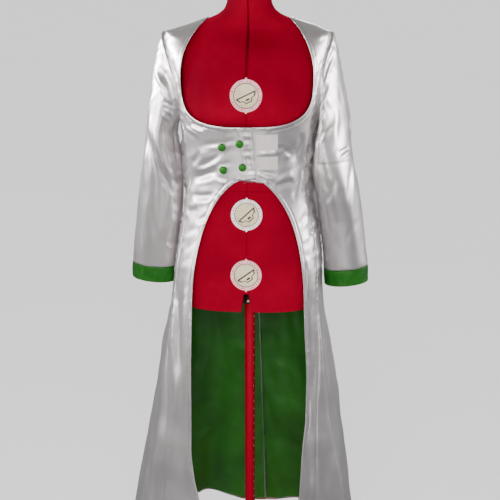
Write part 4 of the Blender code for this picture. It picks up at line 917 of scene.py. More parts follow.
def frontEdgeLine(side, at):
    # inner edge by row: skirt edge, quarter oval arch, closure, squarish oval scoop, closing scoop
    skirtZ = np.interp(at, np.arange(10), cut["skirtHeights"])
    skirtX = side * smoothColumn(frontEdge, sideName[side], skirtZ)
    half, lowEnd, highEnd = (cut[key][side] for key in ("archHalf", "closureLow", "closureHigh"))
    lastAngle = math.degrees(math.acos(side * (lowEnd - cut["archCentre"]) / half))
    angle = np.radians(np.interp(at, [9, 15], [0.0, lastAngle]))
    archX = cut["archCentre"] + side * half * np.cos(angle)
    archZ = cut["skirtTop"] + (cut["archTop"] - cut["skirtTop"]) * np.sin(angle)
    archZ = archZ - cut["archPull"][side] * bell(np.degrees(angle) - 62.0, 22.0)
    share = np.clip((at - 15.0) / 3.0, 0.0, 1.0)
    topZ = cut["skirtTop"] + (cut["archTop"] - cut["skirtTop"]) * math.sin(math.radians(lastAngle))
    closureX = lowEnd + (highEnd - lowEnd) * share
    closureZ = topZ + (cut["neckBottom"] - topZ) * share
    power, wide = 2.0 / cut["scoopSquare"][side], cut["scoopHalf"][side]
    angle = np.radians(np.interp(at, np.arange(19, 25), cut["scoopAngles"]))
    firstX = side * wide * math.cos(math.radians(cut["scoopAngles"][0])) ** power
    lowX = side * wide * np.cos(angle) ** power
    lowX = np.where(at < 19.0, highEnd + (firstX - highEnd) * (at - 18.0), lowX)
    sine = np.sqrt(1.0 - np.clip(np.abs(lowX) / wide, 0.0, 1.0) ** (2.0 / power))
    lowZ = cut["neckWidest"] - (cut["neckWidest"] - cut["neckBottom"]) * sine**power
    highZ = np.interp(at, np.arange(24, 32), cut["scoopHeights"])
    closing = np.sqrt(1.0 - ((highZ - cut["neckWidest"]) / cut["scoopRise"]) ** 2)
    bands = [at <= 9, at <= 15, at <= 18, at <= 24]
    x = np.select(bands, [skirtX, archX, closureX, lowX], side * wide * closing)
    z = np.select(bands, [skirtZ, archZ, closureZ, lowZ], highZ)
    turn = turnAt(side, x, z)
    return np.where(at >= 31.0, cut["armTurn"], turn), z


def seamHeights(side, at):
    # the height of each row at the side seams, up to where they meet the armhole
    _, junction = armhole(side, cut["junction"])
    skirt = np.interp(at, np.arange(10), cut["skirtHeights"])
    above = np.interp(at, [9, 15, 18, 22], [cut["skirtTop"], 1.070, 1.190, junction])
    return np.where(at <= 9, skirt, above)


def seamLine(side, seam, junctionRound, at):
    # up the seam to the armhole, then round the armhole's edge to the shoulder
    z = seamHeights(side, at)
    endTurn, endZ = armhole(side, junctionRound)
    turn = smoothColumn(seam, "turn", z)
    turn = turn + (endTurn - smoothColumn(seam, "turn", endZ)) * smoothStep(at, 21.0, 22.0)
    topRound = 90.0 if junctionRound > -90.0 else -270.0
    edgeTurn, edgeZ = armhole(side, junctionRound + (topRound - junctionRound) * (at - 22.0) / 9.0)
    return np.where(at <= 22.0, turn, edgeTurn), np.where(at <= 22.0, z, edgeZ)


def seamLines(side, at):
    # the front seam's line and the back seam's
    junction = cut["junction"]
    return seamLine(side, frontSeam, junction, at), seamLine(side, backSeam, -180.0 - junction, at)


def backEdgeLine(side, at):
    # the vent's edge, the centre back seam, then the neck to the shoulder
    low = seamHeights(side, at)
    _, junction = armhole(side, cut["junction"])
    centre = junction + (cut["backNeck"] - junction) * (at - 22.0) / 5.0
    neck = np.clip((at - 27.0) / 4.0, 0.0, 1.0)
    neckZ = cut["backNeck"] + (cut["neckTop"] - cut["backNeck"]) * neck**1.5
    z = np.select([at <= 22, at <= 27], [low, centre], neckZ)
    share = wayDown(z, cut["ventTop"])
    near, far = cut["ventX"][side]
    reach = side * (near + (far - near) * share - smoothColumn(coatShape, "shift", z))
    reach = reach * smoothStep(cut["ventTop"] - z, 0.0, cut["ventEase"])
    power, half = smoothColumn(coatShape, "roundness", z) / 2.0, smoothColumn(coatShape, "halfWidth", z)
    swing = np.sign(reach) * np.degrees(np.arcsin((np.abs(reach) / half) ** power))
    return 180.0 - 90.0 * neck - swing, z


def evenly(count, crowd=0.45):
    # shares from 0 to 1 that crowd towards both ends: s - crowd * sin(2 pi s) / (2 pi)
    share = np.linspace(0.0, 1.0, count)
    return share - crowd * np.sin(2.0 * math.pi * share) / (2.0 * math.pi)


def panelGrid(side, panel, at=rowAt):
    # straight rows in turn and height between the panel's two edge lines
    if panel == "side":
        at = at[at <= 22.0]
    front, back = seamLines(side, at)
    if panel == "side":
        topTurn, topZ = armhole(side, np.linspace(cut["junction"], -180.0 - cut["junction"], 46))
        share = (topTurn - topTurn[0]) / (topTurn[-1] - topTurn[0])
        turn = front[0][:, None] + (back[0] - front[0])[:, None] * share
        height = front[1][:, None] + smoothStep(at, 17.0, 22.0)[:, None] * (topZ - topZ[0])
    else:
        first, last = (frontEdgeLine(side, at), front) if panel == "front" else (back, backEdgeLine(side, at))
        share = evenly(62 if panel == "front" else 54)
        turn, height = (a[:, None] * (1.0 - share) + b[:, None] * share for a, b in zip(first, last))
    fade = wayDown(height, cut["hemDropTop"]) ** 2
    return turn, height - smoothColumn(hemDrops, sideName[side], turn, key="turn") * fade


# from turn and height, to turn and height, bend mm, width mm, depth mm, partner
frontCreases = {
    right: (
        (54, 1.122, 40, 1.152, 2, 9, -3.2, 0.3),
        (47, 1.118, 18, 1.151, 6, 5, -3.0, 0.7),
        (33, 1.172, 4, 1.187, 3, 4.5, -2.0, 0.8),
        (21, 1.126, 8, 1.135, 1, 3.5, -1.4, 0.6),
        (54, 1.090, 22, 1.114, 3, 8, -3.6, 0.5),
        (23, 1.100, 12, 1.094, 0, 4, -1.6, 0.5),
        (56, 1.050, 26, 1.057, 3, 8, -3.2, 0.6),
        (44, 0.990, 31, 1.009, 0, 7, -2.6, 0.5),
        (58, 0.960, 40, 0.981, 1, 8, -1.5, 0.5),
        (55, 0.924, 37, 0.951, 0, 8, -1.4, 0.5),
        (48, 1.218, 32, 1.208, 0, 5, -2.4, 0.6),
        (60, 1.205, 38, 1.192, -2, 6, 1.8, 0.4),
        (62, 1.020, 44, 1.030, 0, 6, 1.6, 0.5),
        (62, 0.890, 40, 0.905, 1, 7, -0.9, 0.6),
        (60, 0.842, 38, 0.862, 1, 7, 0.8, 0.6),
        (58, 0.795, 40, 0.812, 0, 7, -0.7, 0.6),
        (58, 0.830, 38, 0.590, -4, 12, -4.5, 0.6),
        (37, 0.620, 31, 0.300, 3, 13, -4.0, 0.6),
        (66, 0.700, 56, 0.300, -6, 16, 3.0, 0.3),
        (62, 1.300, 52, 1.240, 2, 8, -2.0, 0.5),
        (66, 1.350, 58, 1.290, 2, 8, -2.2, 0.4),
        (2, 1.203, -4, 1.201, 0, 2.6, -2.2, 0.8), (1, 1.192, -4, 1.194, 0, 2.2, 1.8, 0.6),
        (2, 1.183, -5, 1.181, 0, 2.6, -2.4, 0.8), (1, 1.171, -4, 1.172, 0, 2.4, -1.8, 0.9),
        (2, 1.158, -5, 1.161, 0, 2.8, -2.6, 0.7), (1, 1.149, -5, 1.146, 0, 2.2, 2.0, 0.6),
        (1, 1.138, -5, 1.139, 0, 2.6, -2.2, 0.8), (0, 1.127, -6, 1.125, 0, 2.4, -1.8, 0.8),
        (1, 1.115, -6, 1.117, 0, 2.6, -2.4, 0.7), (1.8, 1.215, -1.7, 1.108, 0, 2.0, -2.0, 0.8),
        (78, 1.413, 46, 1.400, 1, 7, 5.0, 0.0),
    ),
    left: (
        (47, 1.196, 42, 1.136, 4, 11, -3.6, 0.2),
        (5, 1.156, 26, 1.159, -1, 3.6, 4.2, 0.9), (28, 1.150, 36, 1.146, 0, 4.0, 2.2, 0.8),
        (22, 1.170, 35, 1.161, 1, 3.5, -1.8, 0.8),
        (24, 1.163, 33, 1.169, 0, 3, 1.2, 0.6),
        (4, 1.112, 22, 1.096, -2, 5, 2.6, 0.9),
        (22, 1.080, 41, 1.087, 2, 6, -3.4, 0.6),
        (26, 1.100, 40, 1.108, 0, 5, 1.4, 0.6),
        (50, 1.110, 40, 1.050, 2, 8, -2.4, 0.4),
        (58, 1.010, 44, 0.985, 0, 8, -1.4, 0.5),
        (58, 0.960, 42, 0.950, 0, 8, 1.1, 0.5),
        (56, 0.915, 38, 0.922, 1, 7, -1.0, 0.5),
        (47, 0.905, 47, 0.820, 0, 6, -2.6, 0.5),
        (46, 0.800, 42, 0.500, 3, 12, -4.0, 0.4),
        (60, 0.810, 48, 0.540, 0, 12, -4.5, 0.6),
        (38, 0.500, 33, 0.180, 2, 12, -3.0, 0.4),
        (60, 1.310, 50, 1.250, 2, 8, -2.0, 0.4),
        (66, 1.360, 60, 1.300, 2, 8, -2.4, 0.4), (78, 1.412, 50, 1.404, 1, 7, 5.0, 0.0),
    ),
}
sideCreases = {
    right: (
        (66, 1.190, 84, 1.160, 3, 7, -2.6, 0.6), (72, 1.140, 100, 1.120, 4, 8, -3.0, 0.6),
        (64, 1.100, 88, 1.085, -3, 7, 2.4, 0.6), (68, 1.050, 104, 1.060, 4, 8, -3.2, 0.5),
        (70, 1.010, 96, 0.995, 3, 7, -2.4, 0.6), (74, 0.960, 110, 0.950, 3, 9, 2.6, 0.4),
        (92, 1.190, 108, 1.150, -3, 8, -2.6, 0.4), (82, 0.860, 84, 0.420, 5, 16, -4.0, 0.3),
        (100, 0.800, 108, 0.300, -6, 18, 4.0, 0.3), (92, 0.560, 90, 0.180, 4, 14, -3.0, 0.4),
    ),
    left: (
        (66, 1.190, 86, 1.150, 3, 7, -2.6, 0.6), (66, 1.120, 96, 1.130, 4, 8, -2.8, 0.6),
        (68, 1.080, 92, 1.062, -3, 7, 2.4, 0.6), (72, 1.030, 106, 1.040, 4, 8, -3.0, 0.5),
        (70, 0.985, 98, 0.970, 3, 7, 2.4, 0.6), (76, 0.930, 110, 0.925, 3, 9, -2.4, 0.4),
        (94, 1.180, 110, 1.140, -3, 8, 2.4, 0.4), (78, 0.850, 78, 0.400, 5, 16, -4.0, 0.3),
        (98, 0.780, 104, 0.280, -6, 18, 4.0, 0.3), (88, 0.540, 86, 0.160, 4, 14, 3.0, 0.4),
    ),
}
backCreases = {
    right: (
        (120, 1.190, 150, 1.140, 6, 9, -3.0, 0.5), (118, 1.120, 158, 1.090, 6, 10, -3.4, 0.5),
        (176, 1.080, 140, 1.060, 4, 8, 2.6, 0.5), (172, 1.020, 126, 1.045, 6, 10, -3.2, 0.5),
        (174, 0.980, 140, 0.965, 3, 8, -2.2, 0.5), (124, 0.990, 150, 0.960, 3, 9, 2.6, 0.5),
        (114, 1.300, 140, 1.360, 8, 12, -2.4, 0.4), (120, 1.240, 146, 1.280, 6, 10, 2.2, 0.4),
        (132, 0.860, 134, 0.420, 5, 16, -4.0, 0.4), (158, 0.820, 160, 0.300, -5, 16, 3.6, 0.3),
    ),
    left: (
        (120, 1.180, 152, 1.130, 6, 9, -3.0, 0.5), (118, 1.100, 156, 1.080, 6, 10, 3.0, 0.5),
        (174, 1.060, 138, 1.040, 4, 8, -2.8, 0.5), (172, 1.000, 128, 1.020, 6, 10, -3.0, 0.5),
        (176, 0.960, 142, 0.950, 3, 8, 2.2, 0.5), (124, 0.970, 150, 0.930, 3, 9, -2.4, 0.5),
        (114, 1.290, 138, 1.350, 8, 12, -2.2, 0.4), (122, 1.220, 148, 1.270, 6, 10, -2.2, 0.4),
        (126, 0.850, 126, 0.400, 5, 16, 4.0, 0.4), (150, 0.800, 154, 0.280, -5, 16, -3.8, 0.3),
    ),
}
coatLooks = {
    "wall": 1.5, "seamDip": 1.1, "seamWidth": 3.0, "pucker": 0.8, "puckerReach": 9.0, "perDegree": 0.0027,
    "stitchInset": 9.0, "stitchDip": 0.7, "crumple": 0.38, "sideCrumple": 1.0, "skirtRipple": 2.4,
    "skirtCrumple": 1.0, "turnedEdge": 0.8, "edgePucker": 0.45, "edgePuckerAt": 7.0,
}


def fromLine(points, line):
    # distance of each point from a line of points, and how far along the line its nearest point is
    along = lengthAlong(line)
    flat = points.reshape(-1, 3)
    squared = (flat**2).sum(1)[:, None] + (line**2).sum(1) - 2.0 * flat @ line.T
    nearest = squared.argmin(axis=1)
    # the true distance to the two steps either side of the nearest point
    best = np.full(len(flat), 1e9)
    where = np.zeros(len(flat))
    for k in (-1, 0):
        a = np.clip(nearest + k, 0, len(line) - 2)
        step = line[a + 1] - line[a]
        share = np.clip(((flat - line[a]) * step).sum(1) / np.maximum((step**2).sum(1), 1e-12), 0.0, 1.0)
        away = np.linalg.norm(flat - line[a] - step * share[:, None], axis=1)
        closer = away < best
        best = np.where(closer, away, best)
        where = np.where(closer, along[a] + share * np.linalg.norm(step, axis=1), where)
    return best.reshape(points.shape[:2]), where.reshape(points.shape[:2])


def seamEffect(points, line, seed, pucker=1.0, dip=1.0):
    # a seam: its edge rolls in, and the cloth beside it gathers in small uneven puckers
    looks = coatLooks
    away, along = fromLine(points, line)
    roll = -looks["seamDip"] * dip * mm * bell(away, looks["seamWidth"] * mm)
    ripple = waves(away, along, seed, 0.010, 0.026, lean=3.0, count=10)
    near = np.exp(-away / (looks["puckerReach"] * mm)) * (1.0 - bell(away, 2.0 * mm))
    return roll + looks["pucker"] * pucker * mm * ripple * near, away


def panelField(side, turn, height):
    # everything that lifts or sinks a panel's cloth from its smooth surface, in metres
    looks = coatLooks
    marks = frontCreases[side] + sideCreases[side] + backCreases[side]
    field = creases(turn, height, marks, looks["perDegree"])
    acrossIt = turn * looks["perDegree"]
    seed = 11 if side == right else 12
    torsoPart = smoothStep(height, 0.80, 0.90)
    field += looks["crumple"] * mm * waves(acrossIt, height, seed, 0.026, 0.090, lean=2.2) * torsoPart
    # the side panels are pulled short, so they crumple in small level folds
    sidePart = smoothStep(turn, 55.0, 66.0) * (1.0 - smoothStep(turn, 118.0, 140.0)) * torsoPart
    rumple = waves(acrossIt, height, seed + 20, 0.014, 0.034, lean=2.4, count=20)
    field += looks["sideCrumple"] * mm * sidePart * rumple
    # long shallow ripples hang down the skirt, and grow towards the hem
    hang = waves(acrossIt, height * 0.10, seed + 40, 0.022, 0.060, count=12)
    field += looks["skirtRipple"] * mm * hang * (1.0 - smoothStep(height, 0.35, 0.95))
    soft = waves(acrossIt, height * 0.35, seed + 60, 0.02, 0.07)
    field += looks["skirtCrumple"] * mm * soft * (1.0 - torsoPart)
    # over the shoulders the cloth lies on the form, so it only lifts
    shoulders = smoothStep(height, 1.33, 1.40)
    return field * (1.0 - shoulders) + np.maximum(field, 0.0) * 0.5 * shoulders


def coatLines(side):
    # the seam and edge lines of one side as points on the smooth surface
    low = rowAt <= 22.0
    lines = frontEdgeLine(side, rowAt), *seamLines(side, rowAt), backEdgeLine(side, rowAt)
    edge, frontLine, backLine, centre = (coatBody(side, *line) for line in lines)
    ring = coatBody(side, *armhole(side, np.linspace(-270.0, 90.0, 161)))
    return {
        "edge": edge, "frontSeam": frontLine[low], "backSeam": backLine[low], "centreBack": centre,
        "armhole": ring,
    }


buttonPlaces = ((-0.0535, 1.169), (-0.0141, 1.1777), (-0.0512, 1.117), (-0.0081, 1.1243))
patchLooks = {
    "x": (0.0215, 0.0690), "heights": ((1.1650, 1.1990), (1.1185, 1.1480)), "thickness": 1.0, "lift": 0.8,
    "seamDip": 0.35, "seamInset": 2.5, "ripple": 0.15,
}


def calmPlaces(side, panel, points):
    # 1 where creases may show, 0 under the buttons, the loop tape and the overlap
    calm = np.ones(points.shape[:2])
    if panel != "front":
        return calm
    x, z = points[..., 0], points[..., 2]
    low = smoothStep(z, 1.04, 1.07)
    if side == right:
        for bx, bz in buttonPlaces:
            calm *= 1.0 - np.exp(-((np.hypot(x - bx, z - bz) / 0.0105) ** 4))
        calm *= 1.0 - 0.2 * smoothStep(x, -0.030, -0.005) * low
    else:
        calm *= smoothStep(x, 0.018, 0.030) * low + 1.0 - low
        first, last = patchLooks["x"]
        for bottom, top in patchLooks["heights"]:
            outX = np.maximum(np.maximum(first - x, x - last), 0.0)
            outZ = np.maximum(np.maximum(bottom - z, z - top), 0.0)
            calm *= smoothStep(np.hypot(outX, outZ), 0.0005, 0.0045)
    return calm


def seamFade(height):
    # creases die out at the bodice's seams, and run on over the skirt's, where the lining follows them
    return 0.6 * smoothStep(height, 0.72, 0.86)


def panelPoints(side, panel, lines):
    # a panel's smooth grid, lifted and sunk by its creases, seams and turned edges
    turn, height = panelGrid(side, panel)
    points, looks = coatBody(side, turn, height), coatLooks
    field = panelField(side, turn, height)
    seed = {"front": 100, "side": 200, "back": 300}[panel] + side
    armField, armAway = seamEffect(points, lines["armhole"], seed + 1, dip=0.25)
    field = field * smoothStep(armAway, 0.0, 0.016) + armField
    for k, seam, beside in ((2, "frontSeam", "front"), (3, "backSeam", "back")):
        if panel in (beside, "side"):
            seamField, away = seamEffect(points, lines[seam], seed + k, pucker=0.9)
            field = field * smoothStep(away, 0.0, 0.010) ** seamFade(height) + seamField
    if panel == "front":
        away, along = fromLine(points, lines["edge"])
        # the edge is turned in and top-stitched: a stitch line that dips, and puckers either side of it
        dip = looks["stitchDip"] * mm * bell(away - looks["stitchInset"] * mm, 1.6 * mm)
        ripple = waves(away, along, seed + 4, 0.006, 0.018, lean=3.5, count=16)
        strength = np.clip(1.0 + 0.7 * waves(0.0 * along, along, seed + 6, 0.040, 0.110, count=6), 0.1, 2.0)
        near = bell(away - looks["edgePuckerAt"] * mm, 5.5 * mm) * strength
        turnedEdge = -looks["turnedEdge"] * mm * bell(away, 1.2 * mm)
        pucker = looks["edgePucker"] * mm * ripple * near
        field = field * smoothStep(away, -0.004, 0.014) - dip + pucker + turnedEdge
    if panel == "back":
        seamField, away = seamEffect(points, lines["centreBack"][rowAt >= 13.0], seed + 5, pucker=0.7)
        field = field * (0.4 + 0.6 * smoothStep(away, 0.0, 0.012)) + seamField
    field = field * calmPlaces(side, panel, points)
    return lifted(points, field)


# millimetres; rows are how far the two rows of stitches lie inside the edge
trimLooks = {
    "pipe": 1.1, "armPipe": 1.3, "pipeInset": 0.3, "rows": (3.2, 9.0),
    "stitch": 2.6, "step": 3.4, "width": 0.75, "rise": 0.35,
}


def tubeMesh(name, line, normals, radius, sides=8):
    # a cord along a line: each point's ring is line + r (cos a * normal + sin a * across)
    acrossIt = unit(np.cross(np.gradient(line, axis=0), normals))
    angle = np.linspace(0.0, 2.0 * math.pi, sides, endpoint=False)[None, :, None]
    points = np.cos(angle) * normals[:, None] + np.sin(angle) * acrossIt[:, None]
    points = line[:, None] + radius * mm * points
    return gridMesh(name, points, line[:, None] * np.ones((1, sides, 1)), roundIt=True, caps=True)


def onCloth(points, spots):
    # spots moved along the nearest cloth's normal until they lie on it, and that normal
    flat, normals = points.reshape(-1, 3), outwardNormals(points, axisOf(points)).reshape(-1, 3)
    nearest = ((flat**2).sum(1) - 2.0 * spots @ flat.T).argmin(axis=1)
    off = ((flat[nearest] - spots) * normals[nearest]).sum(1)
    return spots + normals[nearest] * off[:, None], normals[nearest]


def stitchMesh(name, points, line):
    # a row of short threads on the cloth, each a low ridge with pointed ends
    looks = trimLooks
    along, long = lengthAlong(line), looks["stitch"] * mm
    starts = np.arange(0.0, along[-1] - long, looks["step"] * mm)
    ends = [np.stack([np.interp(s, along, axis) for axis in line.T], axis=1) for s in (starts, starts + long)]
    (a, normals), (b, _) = (onCloth(points, spots) for spots in ends)
    acrossIt = unit(np.cross(b - a, normals)) * looks["width"] * mm / 2.0
    rise, inset = normals * looks["rise"] * mm, (b - a) * 0.15
    corners = [a - acrossIt, a + acrossIt, b + acrossIt, b - acrossIt, a + inset + rise, b - inset + rise]
    corners = np.stack(corners, axis=1)
    faces = np.arange(len(a))[:, None] * 6
    quads = [(faces + k).tolist() for k in ([0, 1, 2, 3], [1, 2, 5, 4], [3, 0, 4, 5])]
    ends = [(faces + k).tolist() for k in ([0, 1, 4], [2, 3, 5])]
    mesh = newMesh(name, corners.reshape(-1, 3).tolist(), sum(quads + ends, []))
    facesOutwards(mesh)
    return mesh


def trimFront(side, points, ring):
    # piping on the front's edge and the armhole's, and two rows of top stitching inside the front's
    looks, name, edge = trimLooks, sideName[side], points[:, 0]
    _, normals = onCloth(points, edge)
    inward = unit(np.cross(normals, np.gradient(edge, axis=0)))
    inward *= np.sign((inward * (points[:, 6] - edge)).sum(1))[:, None]
    cord = edge - normals * (coatLooks["wall"] / 2.0) * mm + inward * looks["pipeInset"] * mm
    edgePipe = tubeMesh("piping", cord, normals, looks["pipe"])
    showPiece(f"frontPiping_{name}", edgePipe, whiteSatin)
    armPipe = tubeMesh("armhole", ring, unit(ring - ring.mean(axis=0)), looks["armPipe"])
    showPiece(f"armholePiping_{name}", armPipe, whiteSatin)
    rows = []
    for inset in looks["rows"]:
        spots = edge + inward * inset * mm
        away, _ = fromLine(spots[None], edge)
        rows.append(stitchMesh("stitches", points, spots[away[0] > 0.9 * inset * mm]))
    # the threads are dark grey as painted shade along the stitched rows
    showPiece(f"frontStitches_{name}", joined("stitches", rows), threadWithShade)


for side in (right, left):
    lines = coatLines(side)
    panels = {panel: panelPoints(side, panel, lines) for panel in ("front", "side", "back")}
    for panel, points in panels.items():
        showSheet(f"{panel}Panel_{sideName[side]}", points, whiteSatin,
                  f"{panel}_{sideName[side]}", coatLooks["wall"])
    trimFront(side, panels["front"], lines["armhole"])
print("coat panels made")

liningLooks = {"gap": 2.6, "wall": 1.0, "facing": 0.034, "facingSeam": 1.2, "slack": 0.9, "hang": 1.4}


def buildLining(side):
    # the tail's inside: the coat's surface and its folds moved in, with a facing seam and soft wrinkles
    looks, name = liningLooks, sideName[side]
    grids = [panelGrid(side, panel, rowAt[rowAt <= 9.0]) for panel in ("front", "side", "back")]
    turn, height = (np.concatenate([a[:, :-1], b[:, :-1], c], axis=1) for a, b, c in zip(*grids))
    body = coatBody(side, turn, height)
    acrossIt = np.cumsum(np.linalg.norm(np.diff(body, axis=1, prepend=body[:, :1]), axis=-1), axis=1)
    z, seed = body[..., 2], 500 + side
    # slack only leans inwards, so the lining never meets the outer cloth
    slack = looks["slack"] * mm * waves(acrossIt, z, seed, 0.03, 0.09, lean=1.4)
    slack += looks["hang"] * mm * waves(acrossIt, z * 0.12, seed + 1, 0.03, 0.08)
    facing = waves(acrossIt, z, seed + 2, 0.014, 0.035, lean=2.0)
    facing = (0.8 + 1.6 * smoothStep(z, 0.55, 0.68)) * mm * facing
    slack = np.where(acrossIt < looks["facing"], facing, slack)
    groove = looks["facingSeam"] * mm * bell(acrossIt - looks["facing"], 1.8 * mm)
    inward = looks["gap"] * mm + np.maximum(0.8 * mm + slack, 0.0) + groove
    field = panelField(side, turn, height) - inward * (1.0 - 0.35 * smoothStep(z, 0.76, 0.79))
    points = lifted(body, field)
    points[0] += (points[2] - points[0]) * 0.45
    for edge, beside, inset in ((0, 1, 2.0), (-1, -2, 4.0)):
        gap = points[:, beside] - points[:, edge]
        points[:, edge] += gap * np.minimum(inset * mm / np.linalg.norm(gap, axis=-1, keepdims=True), 0.85)
    showSheet(f"lining_{name}_cloth", points, liningSatin, f"lining_{name}",
              looks["wall"])


for side in (right, left):
    buildLining(side)
print("linings made")

# each sleeve's rings from the cuff's lower edge to below the cap
sleeveShape = {
    right: columns(
        "height x y halfWidth halfDepth swing tilt",
        (0.815, 0.2405, 0.040, 0.0545, 0.0440, 0.00, 5.5),
        (0.855, 0.2380, 0.036, 0.0535, 0.0440, 0.00, 5.5),
        (0.905, 0.2320, 0.030, 0.0540, 0.0450, 0.00, 5.5),
        (0.980, 0.2205, 0.020, 0.0545, 0.0460, 0.05, 6.0),
        (1.050, 0.2153, 0.012, 0.0493, 0.0480, 0.08, 7.0),
        (1.120, 0.2150, 0.006, 0.0390, 0.0520, 0.10, 8.0),
        (1.185, 0.2113, 0.003, 0.0333, 0.0560, 0.10, 9.0),
    ),
    left: columns(
        "height x y halfWidth halfDepth swing tilt",
        (0.826, 0.2320, 0.004, 0.0530, 0.0450, 0.05, 5.5),
        (0.866, 0.2295, 0.002, 0.0530, 0.0450, 0.05, 5.5),
        (0.910, 0.2250, 0.000, 0.0510, 0.0460, 0.08, 5.5),
        (0.980, 0.2158, -0.006, 0.0508, 0.0480, 0.15, 6.0),
        (1.050, 0.2070, -0.020, 0.0467, 0.0490, 0.30, 7.0),
        (1.120, 0.1960, -0.028, 0.0420, 0.0510, 0.45, 8.0),
        (1.180, 0.1935, -0.026, 0.0320, 0.0540, 0.55, 9.0),
    ),
}
broadSleeveFolds = (
    # round, height, spread in round, spread in height, depth
    (-30.0, 1.200, 26.0, 0.020, -0.0045), (20.0, 1.235, 20.0, 0.040, -0.0040),
    (-10.0, 1.060, 14.0, 0.110, -0.0045), (35.0, 1.010, 16.0, 0.100, 0.0035),
    (120.0, 1.150, 30.0, 0.050, -0.0040), (200.0, 1.120, 24.0, 0.060, -0.0040),
)
# slack under the arm that hangs towards the body, in the same columns
sleeveSag = {right: ((-100.0, 1.120, 24.0, 0.090, 0.016),), left: ((-100.0, 1.110, 24.0, 0.085, 0.012),)}
sleeveLooks = {
    "cuffTop": {right: 0.855, left: 0.866}, "reach": (0.030, 0.060), "capLift": 0.040,
    "arrival": (0.020, 0.180), "slopeStep": 0.020, "columns": 128, "capRows": 52, "armRows": 112,
    "perDegree": 0.00095, "ring": 0.05, "wall": 1.4, "cuffWall": 2.4, "crumple": 0.6, "cuffCrumple": 0.8,
    "seamDip": 0.3, "seamLift": 1.3, "pucker": 0.9, "cuffGather": 0.5, "cuffDip": 0.6,
    "capCrumple": 0.35, "cuffRoll": 0.6,
}
sleeveCreases = {
    right: (
        (36, 1.334, -46, 1.236, -4, 7.5, -6.5, 0.35), (48, 1.322, -16, 1.262, -3, 5, 2.6, 0.3),
        (18, 1.296, -13, 1.267, 0, 4, -2.4, 0.6), (0, 1.262, -42, 1.246, 2, 3.5, -2.2, 0.7),
        (-6, 1.248, -46, 1.232, -2, 3.5, -2.2, 0.7), (-2, 1.232, -40, 1.216, 2, 4, 2.0, 0.7),
        (28, 1.210, 0, 1.108, 4, 8, -4.2, 0.4), (-12, 1.215, -46, 1.080, 4, 7, -2.6, 0.4),
        (10, 1.135, -56, 1.026, 5, 6, -2.8, 0.6), (24, 1.020, -12, 0.920, 3, 7, -2.2, 0.4),
        (60, 1.160, 40, 1.060, 4, 10, 2.4, 0.3), (70, 1.020, 52, 0.930, 3, 10, -2.4, 0.3),
        (-30, 1.000, -20, 0.900, 2, 8, -2.0, 0.4), (110, 1.240, 150, 1.130, 5, 9, -3.6, 0.5),
        (150, 1.200, 210, 1.150, 5, 8, -3.4, 0.5), (120, 1.080, 190, 1.030, 6, 9, -3.2, 0.5),
        (170, 0.990, 210, 0.920, 4, 9, 2.4, 0.4), (200, 1.290, 230, 1.230, 3, 7, -3.0, 0.5),
        (40, 1.280, 60, 1.230, 2, 8, 2.0, 0.4), (80, 1.330, 84, 1.230, 3, 9, -1.8, 0.4),
        (52, 1.226, -66, 1.056, 0, 14, 5.0, 0.9), (-74, 1.225, -78, 1.100, 0, 3.5, -4.0, 0.0),
        (78, 1.190, 60, 1.020, 0, 14, -3.5, 0.3),
    ),
    left: (
        (50, 1.222, -24, 1.168, -3, 4.5, -1.6, 0.7), (46, 1.136, 88, 1.148, 2, 4, 1.3, 0.9),
        (44, 1.148, 84, 1.158, 2, 4, -1.2, 0.7), (-40, 1.123, 86, 1.128, 0, 3.5, -0.5, 0.6),
        (84, 1.118, 26, 1.000, -6, 7, -2.4, 0.5), (54, 0.990, 4, 0.930, -3, 7, -1.4, 0.5),
        (46, 1.372, -20, 1.272, -5, 7.5, -6.0, 0.35), (54, 1.376, 0, 1.300, -4, 4, 3.0, 0.3),
        (30, 1.304, -36, 1.244, 3, 6, -3.4, 0.5), (10, 1.250, -40, 1.200, 3, 5, -2.6, 0.5),
        (-20, 1.180, -50, 1.060, 4, 7, -3.0, 0.4), (20, 1.090, -30, 1.030, 3, 6, -2.2, 0.5),
        (60, 1.250, 40, 1.170, 3, 9, 2.2, 0.3), (110, 1.240, 150, 1.130, 5, 9, -3.6, 0.5),
        (150, 1.190, 210, 1.140, 5, 8, -3.2, 0.5), (120, 1.080, 190, 1.040, 6, 9, -3.0, 0.5),
        (170, 0.990, 210, 0.920, 4, 9, 2.4, 0.4), (200, 1.280, 230, 1.220, 3, 7, -3.0, 0.5),
        (-30, 0.990, -14, 0.910, 2, 8, -2.0, 0.4), (90, 0.960, 60, 0.900, 3, 9, 2.0, 0.4),
    ),
}


def softBumps(rounds, height, marks):
    # bumps round a sleeve: the sum of depth * exp(-(degrees off / spread)^2 - (height off / spread)^2)
    total = 0.0
    for roundAt, z, roundSpread, zSpread, depth in marks:
        away = (rounds - roundAt + 180.0) % 360.0 - 180.0
        total = total + depth * np.exp(-((away / roundSpread) ** 2) - ((height - z) / zSpread) ** 2)
    return total


def sleeveRing(side, rounds, height):
    # an oval across the arm, tipped up at its outer side and swung in at its front
    angle = np.radians(rounds)
    names = ("x", "y", "halfWidth", "halfDepth", "swing", "tilt")
    x, y, halfWidth, halfDepth, swing, tilt = (smoothColumn(sleeveShape[side], name, height) for name in names)
    tilt, folds = np.radians(tilt), softBumps(rounds, height, broadSleeveFolds)
    acrossIt, forward = np.sin(angle) * (halfWidth + folds), np.cos(angle) * (halfDepth + folds)
    x = x + acrossIt * np.cos(tilt) - forward * swing
    return np.stack([side * x, y - forward, height + acrossIt * np.sin(tilt)], axis=-1)


